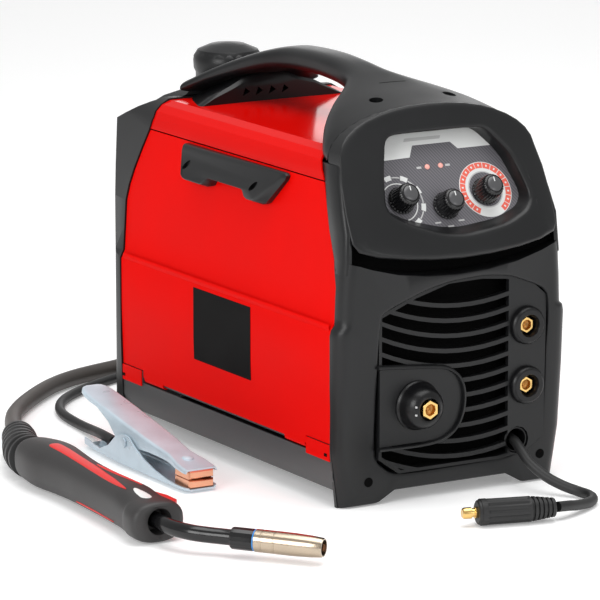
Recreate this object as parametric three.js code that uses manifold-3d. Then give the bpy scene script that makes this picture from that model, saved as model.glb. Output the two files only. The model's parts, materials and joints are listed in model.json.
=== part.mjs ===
// A portable MIG welding machine with its torch and earth clamp, in millimetres, +Z up, front towards -Y.
// The machine stands on z = 0. The torch and the clamp lie on the same floor at its left front.
import * as THREE from "three";
import { mergeVertices } from "three/addons/utils/BufferGeometryUtils.js";
import Module from "manifold-3d";

const wasm = await Module();
wasm.setup();

// ---------- driving dimensions ----------
const GAP = 0.3; // between neighbouring pieces
const FRONT = -213; // front face of the lower front shell
const REAR = 226; // back face of the rear shell
const HALF_WIDTH = 119.5; // case half width below the waist
const WAIST = 162; // height of the joggle that sets the upper half of the sides in
const WAIST_INSET = 4; // depth of that joggle
const ROOF = 316; // top of the sheet-metal roof
const HANDLE_TOP = 374;
const PANEL_FRONT = -196; // front edge of the red sheet panels, at the bottom
const PANEL_REAR = 191; // their rear edge, at the bottom
const SHEET = 1.5; // thickness of the sheet metal
const WALL = 3; // thickness of the moulded shells
const HOOD_BASE = 232; // lower edge of the control hood
const HOOD_TILT = THREE.MathUtils.degToRad(24); // hood face, leaning back from the vertical
const STRIP_TILT = THREE.MathUtils.degToRad(22.5); // the front shell's strips beside the hood
const HOOD_FRONT = FRONT - 3;
const PANEL_TILT = THREE.MathUtils.degToRad(31); // control panel, leaning back from the vertical
const DOOR_SEAM = 288; // upper edge of the side door
const DOOR_BASE = 51;
const HINGE = { x: -114.4, z: 49.5, radius: 1.6 };
const TRAY = { top: 45.4, base: 15 };
const DOOR_TAB = 151; // half length of the door's lower edge, between the hinge brackets
const HOSE = { diameter: 16, coilX: 195, coilY: 350, innerTurn: 80, outerTurn: 96, layers: 3 };
const EARTH = { diameter: 9.5, coilX: 30, coilY: 300, innerTurn: 47.75, outerTurn: 57.25, layers: 3 };
const POLARITY = { diameter: 9.4 };
const TORCH_Z = 22; // centre line of the torch handle, lying on the floor
const CLAMP = { x: -188, pivotY: 26, pivotZ: 25 };

// ---------- solids ----------
function solid(geometry) {
  const plain = geometry.index ? geometry.toNonIndexed() : geometry.clone();
  for (const name of Object.keys(plain.attributes)) {
    if (name !== "position") plain.deleteAttribute(name);
  }
  const merged = mergeVertices(plain, 1e-4);
  const made = new wasm.Manifold(
    new wasm.Mesh({
      numProp: 3,
      vertProperties: new Float32Array(merged.attributes.position.array),
      triVerts: new Uint32Array(merged.index.array),
    }),
  );
  return made;
}

function join(first, ...others) {
  return others.reduce((sum, next) => sum.add(next), first);
}

function cut(first, ...others) {
  return others.reduce((sum, next) => sum.subtract(next), first);
}

function overlap(first, ...others) {
  return others.reduce((sum, next) => sum.intersect(next), first);
}

function box(x0, x1, y0, y1, z0, z1) {
  const geometry = new THREE.BoxGeometry(x1 - x0, y1 - y0, z1 - z0);
  return solid(geometry.translate((x0 + x1) / 2, (y0 + y1) / 2, (z0 + z1) / 2));
}

// A cylinder or cone from one point towards another.
function rod(from, to, radius, endRadius = radius, sides = 14) {
  const start = new THREE.Vector3(...from);
  const along = new THREE.Vector3(...to).sub(start);
  const geometry = new THREE.CylinderGeometry(endRadius, radius, along.length(), sides);
  geometry.translate(0, along.length() / 2, 0);
  const turn = new THREE.Quaternion().setFromUnitVectors(
    new THREE.Vector3(0, 1, 0),
    along.clone().normalize(),
  );
  return solid(geometry.applyQuaternion(turn).translate(...from));
}

// A pipe from one point towards another.
function pipe(from, to, radius, bore, sides = 14) {
  const start = new THREE.Vector3(...from);
  const end = new THREE.Vector3(...to);
  const reach = end.clone().sub(start).normalize();
  const before = start.clone().sub(reach).toArray();
  const after = end.clone().add(reach).toArray();
  return cut(rod(from, to, radius, radius, sides), rod(before, after, bore, bore, sides));
}

// A flat outline pushed along one axis: "x" takes (y, z) points, "y" takes (x, z) and "z" takes (x, y).
function prism(points, axis, from, to) {
  const shape = new THREE.Shape(points.map(([a, b]) => new THREE.Vector2(a, b)));
  const geometry = new THREE.ExtrudeGeometry(shape, { depth: to - from, bevelEnabled: false });
  const place = new THREE.Matrix4();
  if (axis === "x") place.makeBasis(unit(0, 1, 0), unit(0, 0, 1), unit(1, 0, 0));
  if (axis === "y") {
    place.makeBasis(unit(1, 0, 0), unit(0, 0, 1), unit(0, -1, 0));
    geometry.translate(0, 0, -(from + to));
  }
  geometry.translate(0, 0, from);
  return solid(geometry.applyMatrix4(place));
}

function unit(x, y, z) {
  return new THREE.Vector3(x, y, z);
}

// A thin sheet that follows a line of points: the line on one side, and the same line moved by the thickness.
function sheetOutline(points, thickness) {
  const inner = points.map((point, i) => {
    const before = points[Math.max(i - 1, 0)];
    const after = points[Math.min(i + 1, points.length - 1)];
    const run = new THREE.Vector2(after[0] - before[0], after[1] - before[1]).normalize();
    return [point[0] + run.y * thickness, point[1] - run.x * thickness];
  });
  return [...points, ...inner.reverse()];
}

function tube(points, radius, steps, sides = 10, tension = 0.5) {
  const path = new THREE.CatmullRomCurve3(
    points.map((p) => new THREE.Vector3(...p)),
    false,
    "catmullrom",
    tension,
  );
  const section = new THREE.Shape();
  section.absarc(0, 0, radius, 0, 2 * Math.PI);
  const outline = new THREE.Shape(section.getSpacedPoints(sides).slice(0, sides));
  return solid(new THREE.ExtrudeGeometry(outline, { steps, extrudePath: path }));
}

// A ring or a turned piece about Z, from (radius, z) points that close on themselves.
function turned(points, sides = 32) {
  const outline = [...points, points[0]].map(([r, z]) => new THREE.Vector2(r, z));
  return solid(new THREE.LatheGeometry(outline, sides).rotateX(Math.PI / 2));
}

function placed(part, x, y, z, turnX = 0, turnY = 0, turnZ = 0) {
  const matrix = new THREE.Matrix4().makeRotationFromEuler(new THREE.Euler(turnX, turnY, turnZ));
  matrix.setPosition(x, y, z);
  return part.transform(matrix.toArray());
}

// A piece made about Z, turned to point along a direction and moved to a place.
function aimed(part, place, direction) {
  const turn = new THREE.Quaternion().setFromUnitVectors(unit(0, 0, 1), direction);
  const matrix = new THREE.Matrix4().makeRotationFromQuaternion(turn);
  matrix.setPosition(...place);
  return part.transform(matrix.toArray());
}

function superellipse(halfWidth, halfHeight, power, count) {
  return Array.from({ length: count }, (_, i) => {
    const angle = (2 * Math.PI * i) / count;
    const c = Math.cos(angle);
    const s = Math.sin(angle);
    return [
      halfWidth * Math.sign(c) * Math.abs(c) ** (2 / power),
      halfHeight * Math.sign(s) * Math.abs(s) ** (2 / power),
    ];
  });
}

// A skin through closed rings of 3-D points, capped flat at both ends.
function loft(rings) {
  const count = rings[0].length;
  const vertices = rings.flat(2);
  const faces = [];
  for (let r = 0; r + 1 < rings.length; r++) {
    for (let i = 0; i < count; i++) {
      const a = r * count + i;
      const b = r * count + ((i + 1) % count);
      faces.push(a, b, b + count, a, b + count, a + count);
    }
  }
  const last = (rings.length - 1) * count;
  for (let i = 1; i + 1 < count; i++) {
    faces.push(0, i + 1, i);
    faces.push(last, last + i, last + i + 1);
  }
  const geometry = new THREE.BufferGeometry();
  geometry.setAttribute("position", new THREE.Float32BufferAttribute(vertices, 3));
  geometry.setIndex(faces);
  const made = solid(geometry);
  if (made.volume() > 0) return made;
  geometry.setIndex(faces.slice().reverse());
  return solid(geometry);
}

// ---------- the scene graph ----------
const FINISHES = {
  blackPlastic: { color: 0x3a3b3d, roughness: 0.55, metalness: 0 },
  darkPlastic: { color: 0x232426, roughness: 0.5, metalness: 0 },
  redSheet: { color: 0xe0120f, roughness: 0.3, metalness: 0 },
  greySheet: { color: 0x4b4c4e, roughness: 0.5, metalness: 0.2 },
  brass: { color: 0xd29a3f, roughness: 0.3, metalness: 1 },
  copper: { color: 0xc07a4e, roughness: 0.35, metalness: 1 },
  zinc: { color: 0xc9d3da, roughness: 0.3, metalness: 1 },
  nickel: { color: 0xd8cdbf, roughness: 0.2, metalness: 1 },
  aluminium: { color: 0xb4b8bc, roughness: 0.4, metalness: 1 },
  steel: { color: 0x9a9da0, roughness: 0.35, metalness: 1 },
  rubber: { color: 0x2c2c2d, roughness: 0.75, metalness: 0 },
  hoseGrey: { color: 0x5b5553, roughness: 0.6, metalness: 0 },
  redPlastic: { color: 0xd8262a, roughness: 0.5, metalness: 0 },
  panelPrint: { color: 0x9a979c, roughness: 0.4, metalness: 0 },
  lens: { color: 0xf07060, roughness: 0.2, metalness: 0 },
  board: { color: 0x2f6b3c, roughness: 0.6, metalness: 0 },
  winding: { color: 0xa9632f, roughness: 0.4, metalness: 0.6 },
};
const materials = Object.fromEntries(
  Object.entries(FINISHES).map(([name, look]) => [
    name,
    new THREE.MeshStandardMaterial(look),
  ]),
);
const machine = new THREE.Group();

function add(name, part, finish) {
  const data = part.getMesh();
  const geometry = new THREE.BufferGeometry();
  geometry.setAttribute("position", new THREE.BufferAttribute(data.vertProperties, 3));
  geometry.setIndex(new THREE.BufferAttribute(data.triVerts, 1));
  const mesh = new THREE.Mesh(geometry, materials[finish]);
  mesh.name = name;
  machine.add(mesh);
}

// ---------- case outlines ----------
// Half of the case seen from the front, from the floor of the tray up over the shoulder: (x, z) points.
function flankPoints(inset) {
  const side = HALF_WIDTH - inset;
  return [
    [side - 1.5, 50],
    [side, 110],
    [side, WAIST - 2],
    [side - WAIST_INSET, WAIST + 6],
    [side - 5.5, 191],
    [side - 7, 216],
    [side - 9, 248],
    [side - 11, 268],
    [side - 13, DOOR_SEAM],
  ];
}

function shoulderPoints(inset) {
  const side = HALF_WIDTH - inset;
  return [
    [side - 14, 298],
    [side - 17, 306],
    [side - 23, 312],
    [side - 32, ROOF - 0.5 - inset],
    [30, ROOF - inset],
  ];
}

function mirrored(points) {
  return points.map(([x, z]) => [-x, z]).reverse();
}

// The whole case outline from the front, down to the given base height.
function caseOutline(inset, base) {
  const half = [[HALF_WIDTH - 4 - inset, base], ...flankPoints(inset), ...shoulderPoints(inset)];
  return [...half, ...mirrored(half)];
}

// The case seen from above, with rounded corners.
function planOutline(inset, front, rear, cornerFront, cornerRear) {
  const side = HALF_WIDTH + 1 - inset;
  const shape = [];
  const corners = [
    [side - cornerFront, front + cornerFront, cornerFront, -90],
    [side - cornerRear, rear - cornerRear, cornerRear, 0],
    [-side + cornerRear, rear - cornerRear, cornerRear, 90],
    [-side + cornerFront, front + cornerFront, cornerFront, 180],
  ];
  for (const [x, y, radius, start] of corners) {
    for (let i = 0; i <= 5; i++) {
      const angle = THREE.MathUtils.degToRad(start + i * 18);
      shape.push([x + radius * Math.cos(angle), y + radius * Math.sin(angle)]);
    }
  }
  return shape;
}

// The red sheets end on these two lines, which the front and rear shells follow: (y, z) points.
const FRONT_EDGE = [
  [PANEL_FRONT, -5],
  [PANEL_FRONT, 200],
  [-190, 222],
  [-178, 250],
  [-164, 287],
  [-158, 296],
  [-146, 312],
  [-146, 400],
];
const REAR_EDGE = [
  [PANEL_REAR, -5],
  [PANEL_REAR, 216],
  [186, 232],
  [178, 248],
  [167, 268],
  [155, DOOR_SEAM],
  [150, 300],
  [150, 400],
];

function aheadOf(edge, shift) {
  const line = edge.map(([y, z]) => [y + shift, z]);
  return prism([...line, [-400, 400], [-400, -5]], "x", -200, 200);
}

function behindOf(edge, shift) {
  const line = edge.map(([y, z]) => [y + shift, z]);
  return prism([...line, [400, 400], [400, -5]], "x", -200, 200);
}

// ---------- moulded shells ----------
const HOOD_BAY = 104.8; // half width of the bay that the control hood fills
const FOOT_TOP = 10;
const FRONT_CORNER = 14;
const REAR_CORNER = 34;
const COVER_STEP = 1.6; // the shells stand proud of the red sheet by this much

// A block of the case outline with rounded corners, set in by the given depth.
function shellBlock(inset, front, rear) {
  const plan = planOutline(inset, FRONT + inset, REAR - inset, FRONT_CORNER, REAR_CORNER);
  const outline = prism(caseOutline(inset - COVER_STEP, 0), "y", front, rear);
  return overlap(outline, prism(plan, "z", -1, ROOF + 10));
}

// Both shells stand on two feet with a low arch between them.
function footArch(front, rear) {
  const outline = [
    [-82, -1],
    [82, -1],
    [66, FOOT_TOP],
    [-66, FOOT_TOP],
  ];
  return prism(outline, "y", front, rear);
}

// Everything above the rear shell's top, which falls towards the back; the height is lowered by the inset.
const REAR_FALL = [
  [157, 317.6],
  [250, 276.9],
];
function aboveRearTop(inset) {
  const [high, low] = REAR_FALL;
  return prism(
    [
      [high[0] - 40, high[1] + 17.5 - inset],
      [low[0], low[1] - inset],
      [low[0], 420],
      [high[0] - 40, 420],
    ],
    "x",
    -200,
    200,
  );
}

// The front face leans in a little towards the floor.
const frontLean = prism(
  [
    [FRONT - 20, -1],
    [FRONT + 8, -1],
    [FRONT, WAIST],
    [FRONT, HOOD_BASE],
    [FRONT + (ROOF + 40 - HOOD_BASE) * Math.tan(STRIP_TILT), ROOF + 40],
    [FRONT - 20, ROOF + 40],
  ],
  "x",
  -HALF_WIDTH - 5,
  HALF_WIDTH + 5,
);

// Grille recess outline on the front face, and the column of sockets to its right.
const RECESS = { left: -79, right: 97, base: 27, shoulder: 173, crown: 199 };
const recessOutline = [
  [RECESS.left, 42],
  [-58, RECESS.base],
  [50, RECESS.base],
  [76, 31],
  [RECESS.right, 44],
  [RECESS.right + 2, 174],
  [84, 187],
  [58, 196],
  [30, RECESS.crown],
  [-6, 198],
  [-42, 188],
  [RECESS.left, RECESS.shoulder],
];
const RECESS_DEPTH = 9;
const SOCKET_POSTS = [
  { name: "socket_upper", x: 77, z: 148 },
  { name: "socket_lower", x: 77, z: 93 },
];
const LEAD_HOLE = { x: 68, z: 43, radius: 12.5 };
const BOSS = { x: -39, z: 88, reach: 19.5 };

function buildFrontShell() {
  const hollow = cut(
    shellBlock(WALL, FRONT - 10, 0),
    box(-200, 200, FRONT - 20, FRONT + WALL + RECESS_DEPTH + 2, -10, 400),
  );
  const block = cut(shellBlock(0, FRONT, -100), hollow, frontLean, behindOf(FRONT_EDGE, 0));
  // the bay that the control hood fills, with the dark groove under it
  const bay = box(-HOOD_BAY, HOOD_BAY, -260, -120, HOOD_BASE - 9, 400);
  const aboveStrips = box(-200, 200, -260, -100, 304, 400);
  const recess = prism(recessOutline, "y", FRONT - 10, FRONT + 60);
  return cut(block, bay, aboveStrips, recess, footArch(-300, -50));
}

function buildRearShell() {
  const block = cut(shellBlock(0, 100, REAR), aboveRearTop(0), aheadOf(REAR_EDGE, 0));
  let shell = cut(block, cut(shellBlock(WALL, 60, REAR), aboveRearTop(WALL)));
  shell = cut(join(shell, buildFairing()), domeHollow(), footArch(50, 300));
  // moulded louvres in front of the fan
  const louvres = [];
  for (let i = -4; i <= 4; i++) {
    const height = i * 11;
    const reach = Math.sqrt(FAN.radius ** 2 - height ** 2) - 3;
    const z = FAN.z + height;
    louvres.push(box(FAN.x - reach, FAN.x + reach, 215, 240, z - 3.2, z + 3.2));
  }
  shell = cut(shell, ...louvres);
  // openings for the mains switch, the mains cable gland and the gas inlet
  shell = cut(
    shell,
    box(SWITCH.x - 9.5, SWITCH.x + 9.5, 200, 240, SWITCH.z - 13, SWITCH.z + 13),
    rod([GLAND.x, 200, GLAND.z], [GLAND.x, 240, GLAND.z], 10.3),
    rod([GAS.x, 200, GAS.z], [GAS.x, 240, GAS.z], 6.3),
  );
  return join(shell, switchFrame());
}

const FAN = { x: 24, z: 110, radius: 50, blades: 7 };
const SWITCH = { x: -62, z: 232 };
const GLAND = { x: -62, z: 150 };
const GAS = { x: -62, z: 80 };
const CABLE_POST = { y: 194, radius: 34 };

// The fairing rises behind the roof, under the handle's fork, and ends in a domed post for winding cable.
function buildFairing() {
  const ridge = [
    [-77, 296],
    [-77, 315],
    [-68, 321],
    [-48, 327],
    [-22, 331],
    [22, 331],
    [48, 327],
    [68, 321],
    [77, 315],
    [77, 296],
  ];
  const block = cut(prism(ridge, "y", 150, 222), aboveRearTop(-8), cut(box(-90, 90, 140, 230, 0, 320), aboveRearTop(2)));
  const { y, radius } = CABLE_POST;
  const dome = turned(
    [
      [0, 286],
      [radius - 3, 286],
      [radius - 3, 330],
      [radius - 1, 334],
      [radius - 1, 345],
      [radius * 0.85, 351.5],
      [radius * 0.5, 356.5],
      [0, 358],
    ],
    20,
  );
  return join(block, placed(dome, 0, y, 0));
}

function domeHollow() {
  const { y, radius } = CABLE_POST;
  return rod([0, y, 270], [0, y, 326], radius - 6, radius - 6, 16);
}

// ---------- control hood ----------
const hoodHalf = [
  [104, HOOD_BASE],
  [104.4, 262],
  [104.2, 288],
  [101.5, 306],
  [97, 319],
  [88, 330],
  [68, 339],
  [40, 345.8],
  [14, 348.8],
];
const windowOutline = [
  [8, 240],
  [52, 245],
  [76, 254],
  [84, 265],
  [74, 300],
  [56, 321],
  [47, 326],
  [-44, 326],
  [-52, 321],
  [-61, 295],
  [-67, 270],
  [-64, 262],
  [-50, 253],
  [-14, 242],
];

// Everything in front of a plane that leans back through (y, z), set in by the given depth.
function aheadOfLean(y, z, tilt, depth) {
  const base = y + depth / Math.cos(tilt);
  const low = base + (-100 - z) * Math.tan(tilt);
  const high = base + (500 - z) * Math.tan(tilt);
  return prism(
    [
      [low, -100],
      [high, 500],
      [-900, 500],
      [-900, -100],
    ],
    "x",
    -300,
    300,
  );
}

const HOOD_REAR = -160.3; // where the handle moulding takes over

function buildHood() {
  const outline = [...hoodHalf, ...mirrored(hoodHalf)];
  const block = prism(outline, "y", FRONT - 20, HOOD_REAR);
  const face = aheadOfLean(HOOD_FRONT, HOOD_BASE, HOOD_TILT, 0);
  const inside = outline.map(([x, z]) => [x * 0.965, HOOD_BASE + WALL + (z - HOOD_BASE) * 0.95]);
  const cavity = cut(
    prism(inside, "y", FRONT - 20, HOOD_REAR + 20),
    aheadOfLean(HOOD_FRONT, HOOD_BASE, HOOD_TILT, WALL),
  );
  const roofSpace = overlap(behindOf(FRONT_EDGE, -0.5), box(-200, 200, -300, 0, 0, 317));
  return cut(block, face, cavity, roofSpace, prism(windowOutline, "y", -300, -150));
}

// Panel frame: x across, up the slope, and out of the face.
const panelBase = [0, FRONT + 8, 243];
const slope = unit(0, Math.sin(PANEL_TILT), Math.cos(PANEL_TILT));
const outward = unit(0, -Math.cos(PANEL_TILT), Math.sin(PANEL_TILT));

function panelPoint(x, height, out) {
  const up = (height - panelBase[2]) / Math.cos(PANEL_TILT);
  return [
    x,
    panelBase[1] + slope.y * up + outward.y * out,
    panelBase[2] + slope.z * up + outward.z * out,
  ];
}

const KNOBS = [
  { name: "knob_left", x: -44, z: 269 },
  { name: "knob_middle", x: 0, z: 261 },
  { name: "knob_right", x: 44, z: 269 },
];
const KNOB = { radius: 12.5, height: 20, clear: 1 };
const LED_X = [-7, 7];
const LED_HEIGHT = 294;
const PANEL_THICK = 2.5;

function buildControls() {
  const outline = windowOutline.map(([x, z]) => [8 + (x - 8) * 1.04, 283 + (z - 283) * 1.06]);
  const low = aheadOfLean(panelBase[1], panelBase[2], PANEL_TILT, 0);
  const high = aheadOfLean(panelBase[1], panelBase[2], PANEL_TILT, PANEL_THICK);
  let plate = overlap(cut(prism(outline, "y", -300, -120), low), high);
  plate = cut(plate, aheadOfLean(HOOD_FRONT, HOOD_BASE, HOOD_TILT, WALL + GAP));
  for (const x of LED_X) {
    plate = join(plate, rod(panelPoint(x, LED_HEIGHT, -2), panelPoint(x, LED_HEIGHT, 0.8), 2.4, 2.4, 12));
  }
  for (const knob of KNOBS) {
    plate = cut(plate, rod(panelPoint(knob.x, knob.z, -6), panelPoint(knob.x, knob.z, 6), 3.4));
    const body = join(
      rod(
        panelPoint(knob.x, knob.z, KNOB.clear),
        panelPoint(knob.x, knob.z, KNOB.clear + KNOB.height),
        KNOB.radius,
        KNOB.radius - 1.6,
        24,
      ),
      rod(panelPoint(knob.x, knob.z, -9), panelPoint(knob.x, knob.z, KNOB.clear + 1), 3),
    );
    add(knob.name, body, "darkPlastic");
  }
  add("control_panel", plate, "panelPrint");
}

// ---------- grille, torch boss and sockets ----------
const GRILLE = { right: 58, lowest: 12, bend: 0.0025, pitch: 13.75, thick: 4, top: 181 };

function slat(zRight) {
  // a slat hangs lowest at its middle and rises to both ends
  const half = [];
  const left = RECESS.left + 2;
  for (let i = 0; i <= 10; i++) {
    const x = left + ((GRILLE.right - left) * i) / 10;
    const rise = (x - GRILLE.lowest) ** 2 - (GRILLE.right - GRILLE.lowest) ** 2;
    half.push([x, zRight + GRILLE.bend * rise]);
  }
  const lower = half.map(([x, z]) => [x, z - GRILLE.thick]).reverse();
  return prism([...half, ...lower], "y", FRONT + 3, FRONT + 10);
}

function buildGrille() {
  const inside = recessOutline.map(([x, z]) => [9 + (x - 9) * 0.993, 110 + (z - 110) * 0.993]);
  const frame = cut(
    prism(inside, "y", FRONT + 3, FRONT + 20),
    prism(inside.map(([x, z]) => [9 + (x - 9) * 0.965, 110 + (z - 110) * 0.965]), "y", -300, 0),
  );
  let grille = frame;
  const limit = prism(inside, "y", FRONT + 2, FRONT + 30);
  for (let i = 0; i < 13; i++) {
    grille = join(grille, overlap(slat(GRILLE.top - i * GRILLE.pitch), limit));
  }
  // socket column
  const column = overlap(box(GRILLE.right, RECESS.right + 4, FRONT + 3, FRONT + 8, 20, 210), limit);
  grille = join(grille, column);
  // a flat D-shaped surround for the torch boss
  const surround = [
    [RECESS.left + 1, 124],
    [-16, 123],
    [0, 114],
    [9, 99],
    [9, 76],
    [0, 62],
    [-16, 54],
    [RECESS.left + 1, 54],
  ];
  grille = join(grille, overlap(prism(surround, "y", FRONT + 1, FRONT + 9), limit));
  grille = cut(grille, rod([BOSS.x, -260, BOSS.z], [BOSS.x, -150, BOSS.z], 20.5, 20.5, 18));
  for (const post of SOCKET_POSTS) {
    grille = cut(grille, rod([post.x, -260, post.z], [post.x, -150, post.z], 13, 13, 16));
  }
  grille = cut(
    grille,
    rod([LEAD_HOLE.x, -260, LEAD_HOLE.z], [LEAD_HOLE.x, -150, LEAD_HOLE.z], LEAD_HOLE.radius, LEAD_HOLE.radius, 12),
  );
  add("front_grille", grille, "blackPlastic");
}

function buildSockets() {
  for (const post of SOCKET_POSTS) {
    const body = join(
      rod([post.x, FRONT - 3, post.z], [post.x, FRONT + 2.6, post.z], 16.5, 17.5, 18),
      rod([post.x, FRONT + 2, post.z], [post.x, FRONT + 30, post.z], 12.6, 12.6, 12),
    );
    const bore = rod([post.x, FRONT - 10, post.z], [post.x, FRONT + 24, post.z], 8.6, 8.6, 16);
    add(post.name, cut(body, bore), "darkPlastic");
    const brass = join(
      rod([post.x, FRONT + 2, post.z], [post.x, FRONT + 23.5, post.z], 7.6, 7.6, 6),
      rod([post.x, FRONT + 15, post.z], [post.x, FRONT + 23.5, post.z], 8.2, 8.2, 12),
    );
    const hole = rod([post.x, FRONT - 5, post.z], [post.x, FRONT + 18, post.z], 4.6, 4.6, 16);
    add(post.name + "_insert", cut(brass, hole), "brass");
  }
  const boss = join(
    rod([BOSS.x, FRONT - BOSS.reach, BOSS.z], [BOSS.x, FRONT + 2, BOSS.z], 16, 20, 16),
    rod([BOSS.x, FRONT + 1.5, BOSS.z], [BOSS.x, FRONT + 34, BOSS.z], 20, 20, 18),
  );
  const throat = rod([BOSS.x, FRONT - 30, BOSS.z], [BOSS.x, FRONT + 28, BOSS.z], 9, 9, 16);
  add("torch_socket", cut(boss, throat), "darkPlastic");
  const insert = join(
    rod([BOSS.x, FRONT - BOSS.reach - 1, BOSS.z], [BOSS.x, FRONT + 20, BOSS.z], 8.7, 8.7, 6),
    rod([BOSS.x, FRONT + 10, BOSS.z], [BOSS.x, FRONT + 27, BOSS.z], 8.7, 8.7, 12),
  );
  const gun = rod([BOSS.x, FRONT - 30, BOSS.z], [BOSS.x, FRONT + 20, BOSS.z], 5.2, 5.2, 16);
  add("torch_socket_insert", cut(insert, gun), "brass");
}

// ---------- sheet metal ----------
const SHOULDER_X = HALF_WIDTH - 13; // where the door meets the roof sheet

function buildSheets() {
  // roof and right side in one folded sheet, with the left shoulder down to the door
  const coverLine = [
    ...flankPoints(0),
    ...shoulderPoints(0),
    ...mirrored(shoulderPoints(0)),
    [-SHOULDER_X - 0.1, DOOR_SEAM + 1.2],
  ];
  const cover = prism(sheetOutline(coverLine, -SHEET), "y", -250, 250);
  const trims = [aheadOf(FRONT_EDGE, GAP), behindOf(REAR_EDGE, -GAP)];
  add("roof_cover", cut(cover, ...trims), "redSheet");

  // the side door folds down about the pin along its lower edge
  const flank = flankPoints(0);
  flank[flank.length - 1] = [SHOULDER_X, DOOR_SEAM];
  flank[0] = [HALF_WIDTH - 1.6, DOOR_BASE];
  const doorLine = mirrored(flank);
  let door = prism(sheetOutline(doorLine, -SHEET), "y", -250, 250);
  door = cut(door, aheadOf(FRONT_EDGE, 0.8), behindOf(REAR_EDGE, -0.8));
  door = cut(door, box(-130, -90, -250, -DOOR_TAB, 0, 58), box(-130, -90, DOOR_TAB, 250, 0, 58));
  // a lip along the top stiffens the door
  door = join(door, box(-SHOULDER_X + 0.4, -SHOULDER_X + 8, -140, 140, DOOR_SEAM - 4.2, DOOR_SEAM - 2.7));
  for (const y of [-DOOR_TAB + 20, DOOR_TAB - 20]) {
    const knuckle = join(
      rod([HINGE.x, y - 18, HINGE.z], [HINGE.x, y + 18, HINGE.z], 3.4, 3.4, 12),
      box(-118, HINGE.x, y - 18, y + 18, HINGE.z, HINGE.z + 4),
    );
    door = join(door, knuckle);
  }
  door = cut(door, rod([HINGE.x, -250, HINGE.z], [HINGE.x, 250, HINGE.z], HINGE.radius + 0.5, HINGE.radius + 0.5, 16));
  add("side_door", door, "redSheet");
  add("hinge_pin", rod([HINGE.x, -190, HINGE.z], [HINGE.x, 186, HINGE.z], HINGE.radius, HINGE.radius, 12), "steel");
}

function buildTray() {
  const { top, base } = TRAY;
  const outline = [
    [-117.5, top],
    [-117.5, 28],
    [-113, base],
    [113, base],
    [117.5, 28],
    [117.5, top],
    [115.5, top],
    [115.5, 29],
    [112, base + 2],
    [-112, base + 2],
    [-115.5, 29],
    [-115.5, top],
  ];
  let tray = prism(outline, "y", PANEL_FRONT + GAP, PANEL_REAR);
  for (const [y0, y1] of [[PANEL_FRONT + 4, -DOOR_TAB - 1], [DOOR_TAB + 1, PANEL_REAR - 2]]) {
    const ear = box(-118, -109, y0, y1, top - 1, 57);
    tray = join(tray, ear, box(-116, -109, y0, y1, top - 4, top));
  }
  const pinHole = HINGE.radius + 0.3;
  tray = cut(tray, rod([HINGE.x, -250, HINGE.z], [HINGE.x, 250, HINGE.z], pinHole, pinHole, 12));
  add("base_tray", tray, "greySheet");
}

function buildGrip() {
  // a bar on two feet, screwed to the door: its face leans out from its top edge to its bottom edge
  const foot = 254;
  const base = [
    [83, 286],
    [70, foot],
    [24, foot],
    [19, 262],
    [-41, 262],
    [-46, foot],
    [-76, foot],
    [-105, 282],
    [-103, 286],
  ];
  const face = [
    [80, 284],
    [66, foot + 4],
    [27, foot + 4],
    [21, 264],
    [-43, 264],
    [-48, foot + 4],
    [-62, foot + 4],
    [-97, 282],
    [-96, 284],
  ];
  const bar = join(prism(base, "x", -118, -100), prism(face, "x", -123, -117.5));
  const lean = [
    [-112.5, 290],
    [-123.5, 262],
    [-130, 262],
    [-130, 290],
  ];
  const doorSkin = prism(caseOutline(-GAP, 0), "y", -300, 300);
  const fingers = box(-116.4, -90, -40, 19, 200, 275);
  add("door_grip", cut(bar, doorSkin, fingers, prism(lean, "y", -150, 150)), "blackPlastic");
}

// ---------- top handle ----------
// Rings along the handle: [y, half width, top, bottom].
const HANDLE_RINGS = [
  [-160, 98, 348.5, 301],
  [-146, 95, 350.5, 305],
  [-125, 82, 354, 315],
  [-104, 64, 358, 322],
  [-85, 42, 362, 333.5],
  [-65, 24, 366.5, 341.5],
  [-40, 18.5, 371, 347.5],
  [20, 18, HANDLE_TOP, 352],
  [55, 19.5, 372.5, 351.5],
  [80, 27, 368.5, 348.5],
  [105, 43, 361, 341],
  [130, 61, 349.5, 331],
  [149.4, 75, 337, 320],
];

function buildHandle() {
  const rings = HANDLE_RINGS.map(([y, halfWidth, top, bottom]) =>
    superellipse(halfWidth, (top - bottom) / 2, 2.4, 18).map(([x, z]) => [x, y, z + (top + bottom) / 2]),
  );
  const roofSpace = overlap(prism(caseOutline(-0.8, 0), "y", -300, 300), behindOf(FRONT_EDGE, -0.5));
  const panelRoom = box(-84, 84, -170, -142, 290, 335);
  const screwWells = [-38, 38].map((x) => rod([x, -130, 345], [x, -130, 365], 5.5, 5.5, 12));
  add("top_handle", cut(loft(rings), roofSpace, panelRoom, ...screwWells), "blackPlastic");
}

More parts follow.
